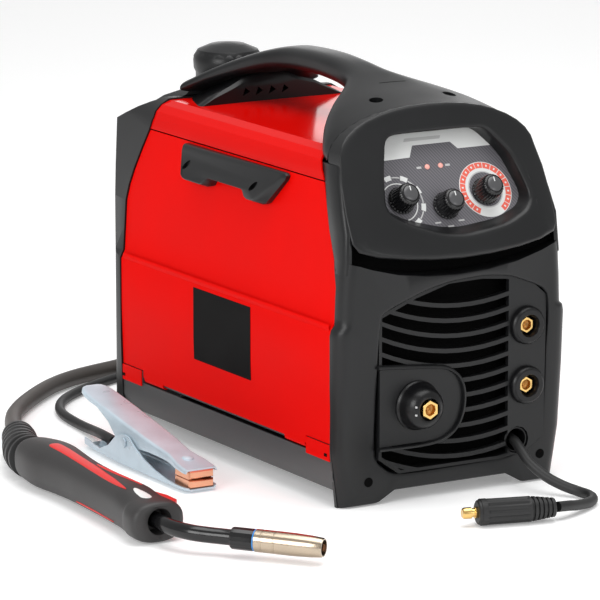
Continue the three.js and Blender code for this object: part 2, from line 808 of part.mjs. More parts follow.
// ---------- cooling fan and rear fittings ----------
function buildFan() {
  const { x, z, radius } = FAN;
  const half = radius + 5;
  const frame = cut(
    box(x - half, x + half, 196, 221, z - half, z + half),
    rod([x, 190, z], [x, 230, z], radius + 1, radius + 1, 12),
  );
  const stator = join(
    rod([x, 196, z], [x, 199, z], 18, 18, 12),
    box(x - half + 1, x + half - 1, 196, 199, z - 3, z + 3),
    box(x - 3, x + 3, 196, 199, z - half + 1, z + half - 1),
    rod([x, 198, z], [x, 212, z], 4, 4, 12),
  );
  add("fan_frame", join(frame, stator), "darkPlastic");
  let rotor = rod([x, 200, z], [x, 218, z], 19, 19, 16);
  const pitch = THREE.MathUtils.degToRad(58);
  for (let i = 0; i < FAN.blades; i++) {
    const blade = placed(box(17, radius - 2, -1, 1, -11, 11), 0, 0, 0, pitch, 0, 0);
    rotor = join(rotor, placed(blade, x, 209, z, 0, (2 * Math.PI * i) / FAN.blades, 0));
  }
  rotor = overlap(rotor, rod([x, 200, z], [x, 218, z], radius - 2, radius - 2, 16));
  add("fan_rotor", cut(rotor, rod([x, 190, z], [x, 213, z], 4.6, 4.6, 12)), "darkPlastic");
}

// The rocker sits in a frame that the rear shell carries, so both are worked out here.
function switchFrame() {
  const { x, z } = SWITCH;
  const frame = join(
    box(x - 12, x + 12, 212, 228, z - 15.5, z + 15.5),
    box(x - 14, x + 14, REAR - 1, 228, z - 18, z + 18),
  );
  return cut(frame, box(x - 9.5, x + 9.5, 200, 240, z - 13, z + 13));
}

function buildRearFittings() {
  const rocker = prism(
    [
      [216, SWITCH.z - 9],
      [230.5, SWITCH.z - 11],
      [226.5, SWITCH.z],
      [227, SWITCH.z + 11],
      [216, SWITCH.z + 9],
    ],
    "x",
    SWITCH.x - 9,
    SWITCH.x + 9,
  );
  add("mains_switch", rocker, "redPlastic");
  const gland = cut(
    join(
      rod([GLAND.x, 212, GLAND.z], [GLAND.x, 228, GLAND.z], 10, 10, 16),
      rod([GLAND.x, 226.3, GLAND.z], [GLAND.x, 229.8, GLAND.z], 13, 13, 6),
    ),
    rod([GLAND.x, 200, GLAND.z], [GLAND.x, 240, GLAND.z], 5.2, 5.2, 12),
  );
  add("mains_gland", gland, "darkPlastic");
  const inlet = cut(
    join(
      rod([GAS.x, 208, GAS.z], [GAS.x, 230, GAS.z], 6, 6, 16),
      rod([GAS.x, 226.3, GAS.z], [GAS.x, 229.8, GAS.z], 8, 8, 6),
    ),
    rod([GAS.x, 212, GAS.z], [GAS.x, 240, GAS.z], 3.6, 3.6, 12),
  );
  add("gas_inlet", inlet, "brass");
}

// ---------- inside the case ----------
const PARTITION_X = -10;
const SPOOL = { y: 80, z: 178, radius: 95, width: 52, core: 26 };
const WIRE = { x: BOSS.x, z: BOSS.z, y: -118 };
const DRIVE_ROLL = 15;
const PRESSURE_ROLL = 13;
const ARM = { pivotY: -158, pivotZ: 108 };
const LEVER = { y: -84, z: 66 };

function buildInside() {
  add(
    "centre_partition",
    cut(
      prism(
        [
          [-175, 17.5],
          [186, 17.5],
          [186, 282],
          [155, 282],
          [155, 300],
          [-135, 300],
          [-135, 215],
          [-175, 215],
        ],
        "x",
        PARTITION_X - 1,
        PARTITION_X + 1,
      ),
      rod([-30, WIRE.y, WIRE.z - DRIVE_ROLL - 0.6], [10, WIRE.y, WIRE.z - DRIVE_ROLL - 0.6], 20, 20, 12),
    ),
    "greySheet",
  );
  const board = join(
    box(60, 63, -130, 150, 175, 290),
    box(34, 60.5, -60, -10, 200, 240),
    box(38, 60.5, 20, 90, 195, 230),
    rod([34, -100, 250], [61, -100, 250], 15, 15, 16),
    rod([34, 60, 260], [61, 60, 260], 15, 15, 16),
  );
  add("inverter_board", board, "board");
  let sink = box(20, 100, -60, 60, 120, 128);
  for (let i = 0; i < 9; i++) {
    sink = join(sink, box(20 + i * 9.6, 23.2 + i * 9.6, -60, 60, 128 - GAP, 160));
  }
  add("heatsink", sink, "aluminium");
  const core = cut(box(20, 98, -50, 20, 20, 100), box(36, 82, -80, 40, 36, 84));
  const winding = box(35.9, 82.1, -58, 28, 36.3, 83.7);
  add("transformer", join(core, winding), "winding");

  // spool and its hub
  const hub = join(
    rod([PARTITION_X - 1.3, SPOOL.y, SPOOL.z], [PARTITION_X - 6, SPOOL.y, SPOOL.z], 34, 34, 18),
    rod([PARTITION_X - 5, SPOOL.y, SPOOL.z], [PARTITION_X - 66, SPOOL.y, SPOOL.z], SPOOL.core - 1, SPOOL.core - 1, 18),
  );
  add("spool_hub", cut(hub, rod([-60, SPOOL.y, SPOOL.z], [-90, SPOOL.y, SPOOL.z], 18, 18, 16)), "darkPlastic");
  const inner = PARTITION_X - 8;
  const outer = inner - SPOOL.width;
  const spool = cut(
    join(
      rod([inner, SPOOL.y, SPOOL.z], [inner - 3, SPOOL.y, SPOOL.z], SPOOL.radius, SPOOL.radius, 28),
      rod([outer, SPOOL.y, SPOOL.z], [outer + 3, SPOOL.y, SPOOL.z], SPOOL.radius, SPOOL.radius, 28),
      rod([inner - 1, SPOOL.y, SPOOL.z], [outer + 1, SPOOL.y, SPOOL.z], 78, 78, 28),
    ),
    rod([inner + 5, SPOOL.y, SPOOL.z], [outer - 5, SPOOL.y, SPOOL.z], SPOOL.core, SPOOL.core, 18),
  );
  add("wire_spool", spool, "copper");

  // wire feeder: motor behind the partition, rolls in front of it
  const driveZ = WIRE.z - DRIVE_ROLL - 0.6;
  const pressZ = WIRE.z + PRESSURE_ROLL + 0.6;
  const plate = cut(
    box(-26, -21, -172, -62, 40, 128),
    rod([-40, WIRE.y, driveZ], [0, WIRE.y, driveZ], 9, 9, 16),
  );
  const posts = join(
    rod([-21.5, -166, 46], [-11.3, -166, 46], 4, 4, 12),
    rod([-21.5, -68, 46], [-11.3, -68, 46], 4, 4, 12),
    rod([-21.5, -166, 122], [-11.3, -166, 122], 4, 4, 12),
    rod([-21.5, -68, 122], [-11.3, -68, 122], 4, 4, 12),
    rod([-25, ARM.pivotY, ARM.pivotZ], [-48, ARM.pivotY, ARM.pivotZ], 3, 3, 12),
    box(-46, -25, -172, -150, 84, 92),
  );
  const guide = cut(join(plate, posts), rod([WIRE.x, -180, WIRE.z], [WIRE.x, -140, WIRE.z], 1.6, 1.6, 12));
  const leverPin = rod([-25, LEVER.y, LEVER.z], [-48, LEVER.y, LEVER.z], 3, 3, 16);
  add("feeder_plate", join(guide, leverPin), "aluminium");
  const motor = join(
    rod([-20.4, WIRE.y, driveZ], [48, WIRE.y, driveZ], 18, 18, 18),
    rod([-8, WIRE.y, driveZ], [14, WIRE.y, driveZ], 18, 18, 18),
  );
  add("feed_motor", cut(motor, rod([-30, WIRE.y, driveZ], [-12, WIRE.y, driveZ], 8.4, 8.4, 20)), "steel");
  const grooved = (z, radius) =>
    join(
      rod([-33, WIRE.y, z], [WIRE.x + 1, WIRE.y, z], radius, radius, 18),
      rod([WIRE.x + 1.5, WIRE.y, z], [WIRE.x - 1.5, WIRE.y, z], radius - 1, radius - 1, 18),
      rod([WIRE.x - 1, WIRE.y, z], [-45, WIRE.y, z], radius, radius, 18),
    );
  const shaft = rod([-33.5, WIRE.y, driveZ], [-12.5, WIRE.y, driveZ], 7.6, 7.6, 20);
  const nut = rod([-44.5, WIRE.y, driveZ], [-52, WIRE.y, driveZ], 8, 7, 6);
  add("drive_roll", join(grooved(driveZ, DRIVE_ROLL), shaft, nut), "steel");
  const axleHole = rod([-30, WIRE.y, pressZ], [-60, WIRE.y, pressZ], 4.3, 4.3, 20);
  add("pressure_roll", cut(grooved(pressZ, PRESSURE_ROLL), axleHole), "steel");
  const arm = join(
    prism(
      [
        [ARM.pivotY - 8, 102],
        [ARM.pivotY - 8, 116],
        [LEVER.y + 10, 126],
        [LEVER.y + 10, 118],
        [ARM.pivotY + 22, 114],
        [ARM.pivotY + 8, 102],
      ],
      "x",
      -46,
      -32.4,
    ),
    box(-32.7, -27, WIRE.y - 8, WIRE.y + 8, 98, 120),
    rod([-27.2, WIRE.y, pressZ], [-46, WIRE.y, pressZ], 4, 4, 12),
  );
  const armHoles = [
    rod([-20, ARM.pivotY, ARM.pivotZ], [-60, ARM.pivotY, ARM.pivotZ], 3.4, 3.4, 12),
    box(-42.5, -35.5, LEVER.y - 4, LEVER.y + 20, 100, 140),
  ];
  add("pressure_arm", cut(arm, ...armHoles), "blackPlastic");
  const lever = cut(
    join(
      rod([-39, LEVER.y, LEVER.z], [-39, LEVER.y, 152], 2.8, 2.8, 12),
      rod([-39, LEVER.y, 141], [-39, LEVER.y, 168], 9, 8, 12),
      rod([-33, LEVER.y, LEVER.z], [-45, LEVER.y, LEVER.z], 7, 7, 16),
    ),
    rod([-20, LEVER.y, LEVER.z], [-60, LEVER.y, LEVER.z], 3.4, 3.4, 12),
  );
  add("tension_lever", lever, "redPlastic");
}

// ---------- torch ----------
// Rings along the handle: [y, centre x, half width, half height].
const TORCH_RINGS = [
  [34, -299, 15, 15],
  [24, -298.5, 20, 19.5],
  [6, -297, 23.5, 21.4],
  [-30, -299, 21.5, 20.5],
  [-90, -302, 19.5, 19.5],
  [-150, -304, 20, 19.5],
  [-185, -305, 22, 20.5],
  [-200, -305.5, 25.5, 21.6],
  [-222, -306, 25.5, 21.6],
];
const NECK = [
  [-306, -206, 20],
  [-307, -228, 20],
  [-304.5, -246, 19],
  [-297, -262, 18],
  [-287, -272.5, 17],
  [-277.7, -282, 16.5],
  [-272, -289, 16.3],
];
const NOZZLE_AIM = unit(0.63, -0.776, -0.015).normalize();
const COLLAR_LENGTH = 20;
const NOZZLE_LENGTH = 62;

function alongNozzle(distance) {
  const [x, y, z] = NECK[NECK.length - 1];
  return [x + NOZZLE_AIM.x * distance, y + NOZZLE_AIM.y * distance, z + NOZZLE_AIM.z * distance];
}

function buildTorch() {
  const rings = TORCH_RINGS.map(([y, x, halfWidth, halfHeight]) =>
    superellipse(halfWidth, halfHeight, 2.5, 16).map(([dx, dz]) => [x + dx, y, TORCH_Z + dz]),
  );
  const mouth = rod([-306, -260, 20], [-306, -200, 20], 11, 11, 20);
  const pocket = box(-292, -270, -208, -158, 12, 32.5);
  add("torch_handle", cut(loft(rings), mouth, pocket), "blackPlastic");
  const trigger = prism(
    [
      [-286, -161],
      [-281, -161],
      [-276.5, -182],
      [-277, -200],
      [-283, -205],
      [-287, -203],
    ],
    "z",
    13,
    31,
  );
  add("torch_trigger", trigger, "redPlastic");
  add("torch_neck", tube(NECK, 7, 14, 14), "darkPlastic");
  const collar = pipe(alongNozzle(GAP), alongNozzle(COLLAR_LENGTH), 9.6, 3.4, 16);
  add("neck_insulator", collar, "darkPlastic");
  const nozzle = turned(
    [
      [6.6, 0],
      [9.9, 0],
      [9.9, 16],
      [8.2, NOZZLE_LENGTH],
      [6.6, NOZZLE_LENGTH],
    ],
    18,
  );
  add("gas_nozzle", aimed(nozzle, alongNozzle(COLLAR_LENGTH + GAP), NOZZLE_AIM), "nickel");
  add("contact_tip", rod(alongNozzle(4), alongNozzle(COLLAR_LENGTH + NOZZLE_LENGTH - 4), 3, 3, 12), "copper");
  const boot = loft(
    [
      [34.4, -299, 13.6],
      [60, -292.5, 13.2],
      [95, -278, 12],
      [128, -264, 10.4],
    ].map(([y, x, radius], i) =>
      superellipse(radius, radius, 2, 16).map(([dx, dz]) => [x + dx, y - dx * 0.15 * i, 20 - i + dz]),
    ),
  );
  add("torch_boot", boot, "rubber");
}

// ---------- earth clamp ----------
function clampPlate(ends, thickness) {
  // a flat pressed plate seen from above, tapering towards both ends: [y, half width]
  const right = ends.map(([y, half]) => [CLAMP.x + half, y]);
  const left = ends.map(([y, half]) => [CLAMP.x - half, y]).reverse();
  return prism([...right, ...left], "z", 0, thickness);
}

const LOWER_PLATE = [
  [-86, 14],
  [-80, 18],
  [-50, 18],
  [0, 18.5],
  [60, 18.5],
  [100, 12],
  [120, 11],
];
const UPPER_PLATE = [
  [-86, 13],
  [-80, 17],
  [-50, 17],
  [-20, 19],
  [30, 19],
  [100, 13],
  [124, 12],
];
const UPPER_DROP = { y: -86, z: 21, slope: 36 / 210 };

function buildClamp() {
  const { x, pivotY, pivotZ } = CLAMP;
  const flange = (side, points) => prism(points, "x", x + side - 0.8, x + side + 0.8);
  const lowerFlange = [
    [-60, 3.5],
    [pivotY - 36, 12],
    [pivotY - 11, pivotZ + 7],
    [pivotY + 11, pivotZ + 7],
    [80, 11],
    [104, 3.5],
  ];
  let lower = placed(clampPlate(LOWER_PLATE, 1.6), 0, 0, 2.4);
  for (const side of [-17.5, 17.5]) lower = join(lower, flange(side, lowerFlange));
  lower = cut(lower, rod([x - 30, pivotY, pivotZ], [x + 30, pivotY, pivotZ], 3.3, 3.3, 16));
  for (const dx of [-8, 8]) lower = join(lower, rod([x + dx, -70, 0.1], [x + dx, -70, 3], 3, 3, 12));
  lower = join(lower, rod([x, 108, 0.1], [x, 108, 3], 4, 4, 12), box(x - 7, x + 7, 84, 104, 3.5, 7));
  add("clamp_lower_arm", lower, "zinc");

  const topZ = (y) => UPPER_DROP.z + (y - UPPER_DROP.y) * UPPER_DROP.slope;
  const tilt = Math.atan(UPPER_DROP.slope);
  let upper = clampPlate(
    UPPER_PLATE.map(([y, half]) => [(y - UPPER_DROP.y) / Math.cos(tilt), half]),
    1.6,
  );
  upper = placed(upper, 0, UPPER_DROP.y, UPPER_DROP.z, tilt, 0, 0);
  const upperFlange = [
    [-62, topZ(-62) + 0.8],
    [pivotY - 34, topZ(pivotY - 34) - 6],
    [pivotY - 9, pivotZ - 7],
    [pivotY + 9, pivotZ - 7],
    [88, topZ(88) - 6],
    [110, topZ(110) + 0.8],
  ];
  for (const side of [-14.6, 14.6]) upper = join(upper, flange(side, upperFlange));
  upper = cut(upper, rod([x - 30, pivotY, pivotZ], [x + 30, pivotY, pivotZ], 3.3, 3.3, 16));
  add("clamp_upper_arm", upper, "zinc");
  const pin = join(
    rod([x - 20.4, pivotY, pivotZ], [x + 20.4, pivotY, pivotZ], 3, 3, 12),
    rod([x - 20.4, pivotY, pivotZ], [x - 18.7, pivotY, pivotZ], 4.5, 4.5, 12),
    rod([x + 18.7, pivotY, pivotZ], [x + 20.4, pivotY, pivotZ], 4.5, 4.5, 12),
  );
  add("clamp_pivot", pin, "zinc");
  add("clamp_spring", pipe([x - 11, pivotY, pivotZ], [x + 11, pivotY, pivotZ], 7, 3.6, 16), "steel");
  const tooth = (z0, z1) => box(x - 13, x + 13, -85, -58, z0, z1);
  add("clamp_jaw_lower", tooth(4.3, 12.2), "copper");
  add("clamp_jaw_upper", tooth(12.6, 20.4), "copper");
}

// ---------- cords ----------
const HOSE_Z = HOSE.diameter / 2 + 0.3;
const HOSE_ROUTE = [
  [-263.2, 130, 17],
  [-250, 161, 14.5],
  [-235, 194, 11],
  [-215, 232, 8.6],
  [-193, 262, HOSE_Z],
  [-161, 296, HOSE_Z],
  [-125, 328, HOSE_Z],
  [-92, 348, HOSE_Z],
  [-60, 360, HOSE_Z],
  [-30, 369, HOSE_Z],
  [0, 383, HOSE_Z],
  [30, 403, HOSE_Z],
  [60, 422, HOSE_Z],
  [90, 437, HOSE_Z],
  [115, 444, HOSE_Z],
  [138, 446, HOSE_Z],
];
const EARTH_Z = EARTH.diameter / 2 + 0.3;
const EARTH_ROUTE = [
  [-188, 80, 12.5],
  [-186, 100, 12.5],
  [-181, 122, 10.5],
  [-175, 145, 7.5],
  [-171, 175, 5.4],
  [-168, 205, EARTH_Z],
  [-163, 232, EARTH_Z],
  [-151, 260, EARTH_Z],
  [-133, 284, EARTH_Z],
  [-108, 305, EARTH_Z],
  [-80, 323, EARTH_Z],
  [-51, 338, EARTH_Z],
  [-25, 350, EARTH_Z],
  [-6, 356.2, EARTH_Z],
];
const POLARITY_Z = POLARITY.diameter / 2 + 0.3;
const POLARITY_ROUTE = [
  [68, -196, 43],
  [67, -208, 41.5],
  [66.5, -220, 35],
  [68, -232, 25.8],
  [75, -248, 15.9],
  [84, -262, 9.5],
  [92, -274, 6],
  [95, -287, POLARITY_Z],
  [90, -300, POLARITY_Z],
  [79, -310, 5.4],
  [60, -320.5, 8],
  [46, -326.5, 10.6],
  [32, -330, 12.2],
];

function coilRing(coil) {
  const half = coil.diameter / 2;
  const inner = coil.innerTurn - half;
  const outer = coil.outerTurn + half;
  const top = coil.layers * coil.diameter + 0.3;
  return placed(
    turned(
      [
        [inner, 0.3],
        [outer, 0.3],
        [outer, top],
        [inner, top],
      ],
      36,
    ),
    coil.coilX,
    coil.coilY,
    0,
  );
}

function buildCords() {
  add("torch_hose", tube(HOSE_ROUTE, HOSE.diameter / 2, 34), "hoseGrey");
  add("torch_hose_coil", coilRing(HOSE), "hoseGrey");
  const reach = HOSE.coilX + HOSE.outerTurn;
  const fitting = join(
    rod([reach, 277, 19.5], [reach, 240, 19.5], 13, 17, 16),
    rod([reach, 240.5, 19.5], [reach, 205, 19.5], 19, 19, 12),
    rod([reach, 205.5, 19.5], [reach, 183, 19.5], 11, 11, 16),
  );
  add("torch_connector", fitting, "darkPlastic");

  add("earth_lead", tube(EARTH_ROUTE, EARTH.diameter / 2, 30), "rubber");
  add("earth_lead_coil", coilRing(EARTH), "rubber");
  const y = EARTH.coilY - EARTH.outerTurn;
  const plug = join(
    rod([-16.5, y, 14], [-74, y, 14], 10, 13.5, 12),
    rod([-73.5, y, 14], [-92, y, 14], 6.4, 6.4, 12),
  );
  add("earth_plug", plug, "rubber");

  add("polarity_lead", tube(POLARITY_ROUTE, POLARITY.diameter / 2, 28), "rubber");
  const body = join(
    rod([29, -329.9, 12.3], [8, -324, 12.3], 8.2, 10.5, 12),
    rod([8.4, -324.1, 12.3], [-39.6, -310.6, 12.3], 11.4, 12, 12),
  );
  add("polarity_plug", body, "rubber");
  add("polarity_plug_pin", rod([-40, -310.5, 12.3], [-53, -306.8, 12.3], 5.2, 5.2, 16), "brass");
}

add("front_shell", buildFrontShell(), "blackPlastic");
add("rear_shell", buildRearShell(), "blackPlastic");
add("control_hood", buildHood(), "blackPlastic");
buildHandle();
buildControls();
buildGrille();
buildSockets();
buildSheets();
buildTray();
buildGrip();
buildFan();
buildRearFittings();
buildInside();
buildTorch();
buildClamp();
buildCords();

// The frame's origin is on the floor under the middle of the hard pieces, so the cords are left out of the measure.
const CORD_PIECES = /^(torch_hose|torch_connector|earth_lead|earth_plug|polarity)/;
const footprint = new THREE.Box3();
for (const mesh of machine.children) {
  if (!CORD_PIECES.test(mesh.name)) footprint.expandByObject(mesh);
}
const middle = footprint.getCenter(new THREE.Vector3());
machine.position.set(-middle.x, -middle.y, 0);

const object = new THREE.Group();
object.add(machine);
export default object;
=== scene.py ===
"""The looks of a portable MIG welding machine, with its torch, hose, earth clamp and leads.

Shapes are given in millimetres in the machine's own frame: x to its right, y towards its back,
z up from the floor, with the middle of the case at x = 0.
"""
import json
import math

import bmesh
import bpy
from mathutils import Matrix, Vector


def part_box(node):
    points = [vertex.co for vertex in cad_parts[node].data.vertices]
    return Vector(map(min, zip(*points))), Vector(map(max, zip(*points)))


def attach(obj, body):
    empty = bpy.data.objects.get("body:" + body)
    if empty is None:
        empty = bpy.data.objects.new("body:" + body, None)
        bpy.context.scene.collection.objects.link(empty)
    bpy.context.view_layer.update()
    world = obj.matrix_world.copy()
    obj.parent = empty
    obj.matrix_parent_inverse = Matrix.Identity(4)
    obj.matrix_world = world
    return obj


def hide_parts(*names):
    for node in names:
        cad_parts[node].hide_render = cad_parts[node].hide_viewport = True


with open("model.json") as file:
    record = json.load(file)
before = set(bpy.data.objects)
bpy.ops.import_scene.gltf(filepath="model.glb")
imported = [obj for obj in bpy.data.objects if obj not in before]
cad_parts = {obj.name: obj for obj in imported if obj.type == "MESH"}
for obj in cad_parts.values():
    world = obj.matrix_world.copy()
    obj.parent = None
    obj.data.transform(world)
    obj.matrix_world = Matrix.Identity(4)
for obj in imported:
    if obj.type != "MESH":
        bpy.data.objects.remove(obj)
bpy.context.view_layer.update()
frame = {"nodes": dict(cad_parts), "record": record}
nodes = frame["nodes"]

# ---------- the machine's frame ----------
hood_low, hood_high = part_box("control_hood")
shell_low, shell_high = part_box("front_shell")
FRONT = -213.0
ORIGIN = Vector(((hood_low.x + hood_high.x) / 2, shell_low.y - FRONT / 1000, 0.0))


def at(x, y, z):
    """A point of the machine's frame, in metres in the row frame."""
    return ORIGIN + Vector((x, y, z)) / 1000


def clamp01(value):
    return max(0.0, min(1.0, value))


def smoothstep(value):
    t = clamp01(value)
    return t * t * (3 - 2 * t)


def interpolate(table, value):
    """Straight-line reading of a table of (position, value, ...) rows."""
    if value <= table[0][0]:
        return table[0][1:]
    for low, high in zip(table, table[1:]):
        if value <= high[0]:
            t = (value - low[0]) / (high[0] - low[0])
            return [a + (b - a) * t for a, b in zip(low[1:], high[1:])]
    return table[-1][1:]


# ---------- camera ----------
def add_camera():
    azimuth = math.radians(-30.6745)
    pitch = math.radians(11.9056)
    back = Vector(
        (
            math.sin(azimuth) * math.cos(pitch),
            -math.cos(azimuth) * math.cos(pitch),
            math.sin(pitch),
        )
    )
    right = Vector((math.cos(azimuth), math.sin(azimuth), 0))
    up = back.cross(right)
    data = bpy.data.cameras.new("camera")
    data.sensor_width = 36
    data.lens = 263
    data.clip_end = 100
    camera = bpy.data.objects.new("camera", data)
    turn = Matrix((right, up, back)).transposed().to_4x4()
    camera.matrix_world = Matrix.Translation(at(-2059.67, -3413.94, 981.52)) @ turn
    bpy.context.scene.collection.objects.link(camera)
    bpy.context.scene.camera = camera


add_camera()


# ---------- materials ----------
class Nodes:
    """Small helper that adds shader nodes and joins them."""

    def __init__(self, name):
        self.material = bpy.data.materials.new(name)
        self.material.use_nodes = True
        self.tree = self.material.node_tree
        self.shader = self.tree.nodes["Principled BSDF"]
        self.coords = self.add("ShaderNodeTexCoord").outputs["Object"]

    def add(self, kind, **inputs):
        node = self.tree.nodes.new(kind)
        for key, value in inputs.items():
            node.inputs[key.replace("_", " ")].default_value = value
        return node

    def join(self, output, target):
        self.tree.links.new(output, target)

    def noise(self, scale, detail=3.0):
        node = self.add("ShaderNodeTexNoise", Scale=scale, Detail=detail)
        self.join(self.coords, node.inputs["Vector"])
        return node.outputs["Fac"]

    def stretch(self, factors):
        node = self.add("ShaderNodeMapping")
        node.inputs["Scale"].default_value = factors
        self.join(self.coords, node.inputs["Vector"])
        return node.outputs["Vector"]

    def mix(self, factor, first, second):
        node = self.tree.nodes.new("ShaderNodeMix")
        node.data_type = "RGBA"
        for socket, value in ((node.inputs[6], first), (node.inputs[7], second)):
            if isinstance(value, bpy.types.NodeSocket):
                self.join(value, socket)
            else:
                socket.default_value = (*value, 1)
        self.join(factor, node.inputs[0])
        return node.outputs[2]

    def ramp(self, output, low, high, start=0.0, end=1.0):
        node = self.add("ShaderNodeMapRange")
        node.inputs["From Min"].default_value = start
        node.inputs["From Max"].default_value = end
        node.inputs["To Min"].default_value = low
        node.inputs["To Max"].default_value = high
        self.join(output, node.inputs["Value"])
        return node.outputs["Result"]

    def bump(self, height, strength, distance, below=None):
        node = self.add("ShaderNodeBump", Strength=strength, Distance=distance)
        self.join(height, node.inputs["Height"])
        if below is not None:
            self.join(below, node.inputs["Normal"])
        return node.outputs["Normal"]


def tinted(color, factor):
    return tuple(min(1.0, channel * factor) for channel in color)


def finish(
    name,
    color,
    roughness,
    metallic=0.0,
    variation=0.08,
    cloud_scale=11.0,
    grain=0.0,
    grain_scale=1500.0,
    waves=0.0,
    coat=0.0,
    specular=0.5,
):
    """Colour clouds and roughness clouds over the whole surface, with a moulded or cast grain."""
    n = Nodes(name)
    cloud = n.noise(cloud_scale)
    spread = n.ramp(cloud, 0, 1, 0.3, 0.7)
    n.join(
        n.mix(spread, tinted(color, 1 - variation), tinted(color, 1 + variation)),
        n.shader.inputs["Base Color"],
    )
    n.join(
        n.ramp(cloud, roughness - 0.04, roughness + 0.05, 0.3, 0.7),
        n.shader.inputs["Roughness"],
    )
    n.shader.inputs["Metallic"].default_value = metallic
    n.shader.inputs["Coat Weight"].default_value = coat
    n.shader.inputs["Coat Roughness"].default_value = 0.08
    n.shader.inputs["Specular IOR Level"].default_value = specular
    normal = None
    if waves:
        normal = n.bump(n.noise(26.0, 1.0), waves, 0.002)
    if grain:
        normal = n.bump(n.noise(grain_scale), grain, 0.0002, normal)
    if normal is not None:
        n.join(normal, n.shader.inputs["Normal"])
    return n.material


def brushed(name, color, roughness, direction, metallic=1.0):
    """Metal with fine lines along one axis."""
    n = Nodes(name)
    stretched = [60.0, 60.0, 60.0]
    stretched["xyz".index(direction)] = 1.5
    lines = n.add("ShaderNodeTexNoise", Scale=30.0, Detail=4.0)
    n.join(n.stretch(stretched), lines.inputs["Vector"])
    cloud = n.noise(25.0)
    n.join(
        n.mix(cloud, tinted(color, 0.86), tinted(color, 1.12)),
        n.shader.inputs["Base Color"],
    )
    n.join(
        n.ramp(lines.outputs["Fac"], roughness - 0.06, roughness + 0.1),
        n.shader.inputs["Roughness"],
    )
    n.shader.inputs["Metallic"].default_value = metallic
    n.join(n.bump(lines.outputs["Fac"], 0.1, 0.0003), n.shader.inputs["Normal"])
    return n.material


def hatched(name, dark, light, period):
    """A printed plate with fine slanted lines."""
    n = Nodes(name)
    turned = n.add("ShaderNodeMapping")
    turned.inputs["Rotation"].default_value = (0, math.radians(38), 0)
    n.join(n.coords, turned.inputs["Vector"])
    lines = n.add("ShaderNodeTexWave", Scale=math.pi / (10 * period))
    lines.wave_type = "BANDS"
    lines.bands_direction = "X"
    n.join(turned.outputs["Vector"], lines.inputs["Vector"])
    n.join(n.mix(lines.outputs["Fac"], dark, light), n.shader.inputs["Base Color"])
    n.shader.inputs["Roughness"].default_value = 0.34
    return n.material


charcoal = finish("charcoal_plastic", (0.0075, 0.0078, 0.0084), 0.34, grain=0.3, specular=0.34)
soft_black = finish("soft_black_plastic", (0.0035, 0.0035, 0.004), 0.3, grain=0.15, specular=0.34)
gloss_black = finish("gloss_black_plastic", (0.0035, 0.0035, 0.004), 0.2, coat=0.15, specular=0.4)
red_paint = finish("red_powder_coat", (0.68, 0.0026, 0.0014), 0.42, variation=0.03, specular=0.02)
red_gloss = finish("red_gloss_coat", (0.60, 0.0026, 0.0014), 0.12, variation=0.03, specular=0.06)
grey_paint = finish("grey_powder_coat", (0.046, 0.0465, 0.048), 0.48, grain=0.2)
rubber = finish("cable_rubber", (0.007, 0.007, 0.0074), 0.5, grain=0.15, grain_scale=700.0)
hose_rubber = finish("hose_rubber", (0.056, 0.047, 0.042), 0.5, grain=0.2, grain_scale=500.0)
grip_rubber = finish("torch_grip", (0.025, 0.0235, 0.0235), 0.5, grain=0.35)
red_rubber = finish("red_inlay", (0.62, 0.022, 0.02), 0.42, grain=0.15)
brass = brushed("machined_brass", (0.83, 0.55, 0.2), 0.24, "y")
copper = brushed("machined_copper", (0.78, 0.40, 0.25), 0.28, "y")
zinc = finish(
    "bright_zinc", (0.50, 0.60, 0.67), 0.3, metallic=0.18, variation=0.1, cloud_scale=34.0, specular=0.6,
)
nickel = brushed("warm_nickel", (0.46, 0.38, 0.29), 0.22, "z")
aluminium = brushed("aluminium", (0.62, 0.63, 0.65), 0.36, "y")
steel = brushed("turned_steel", (0.55, 0.55, 0.57), 0.3, "x")
white_print = finish("white_print", (0.72, 0.73, 0.72), 0.34, variation=0.03)
light_print = finish("light_print", (0.50, 0.50, 0.50), 0.34, variation=0.03)
red_print = finish("red_print", (0.78, 0.13, 0.09), 0.34, variation=0.04)
black_print = finish("black_print", (0.003, 0.0027, 0.0027), 0.5, variation=0.04, specular=0.04)
panel_print = hatched("hatched_print", (0.085, 0.082, 0.092), (0.16, 0.155, 0.17), 0.0024)
lens = finish("indicator_lens", (0.95, 0.42, 0.36), 0.2, coat=0.5)
cap_grey = finish("knob_cap", (0.06, 0.06, 0.063), 0.3, coat=0.2)
blue_ring = finish("blue_ring", (0.02, 0.22, 0.62), 0.3)
board_green = finish("circuit_board", (0.03, 0.14, 0.06), 0.45)
winding = finish("varnished_winding", (0.36, 0.13, 0.05), 0.35, metallic=0.5)
bore_brass = finish("bore_brass", (0.50, 0.22, 0.035), 0.3, variation=0.3, cloud_scale=260.0, metallic=0.4)
# painted shade: a near-black finish laid in gaps, holes and slots where only shade falls
painted_shade_black = finish("painted_shade_black", (0.0016, 0.0016, 0.0016), 0.8, specular=0.06)

LOOK_OF_SLOT = {
    "black_plastic": charcoal,
    "dark_plastic": soft_black,
    "red_paint": red_paint,
    "grey_paint": grey_paint,
    "panel_print": panel_print,
    "brass": brass,
    "copper": copper,
    "zinc": zinc,
    "nickel": nickel,
    "aluminium": aluminium,
    "steel": steel,
    "rubber": rubber,
    "hose_rubber": hose_rubber,
    "red_plastic": red_rubber,
    "board": board_green,
    "winding": winding,
    "wire": copper,
}


# ---------- modifiers and smoothing ----------
def bevel(obj, width, segments=2, angle=35.0):
    """Rounds the edges that turn more than the angle; the width is in millimetres."""
    modifier = obj.modifiers.new("bevel", "BEVEL")
    modifier.width = width / 1000
    modifier.segments = segments
    modifier.limit_method = "ANGLE"
    modifier.angle_limit = math.radians(angle)
    modifier.harden_normals = True
    return obj


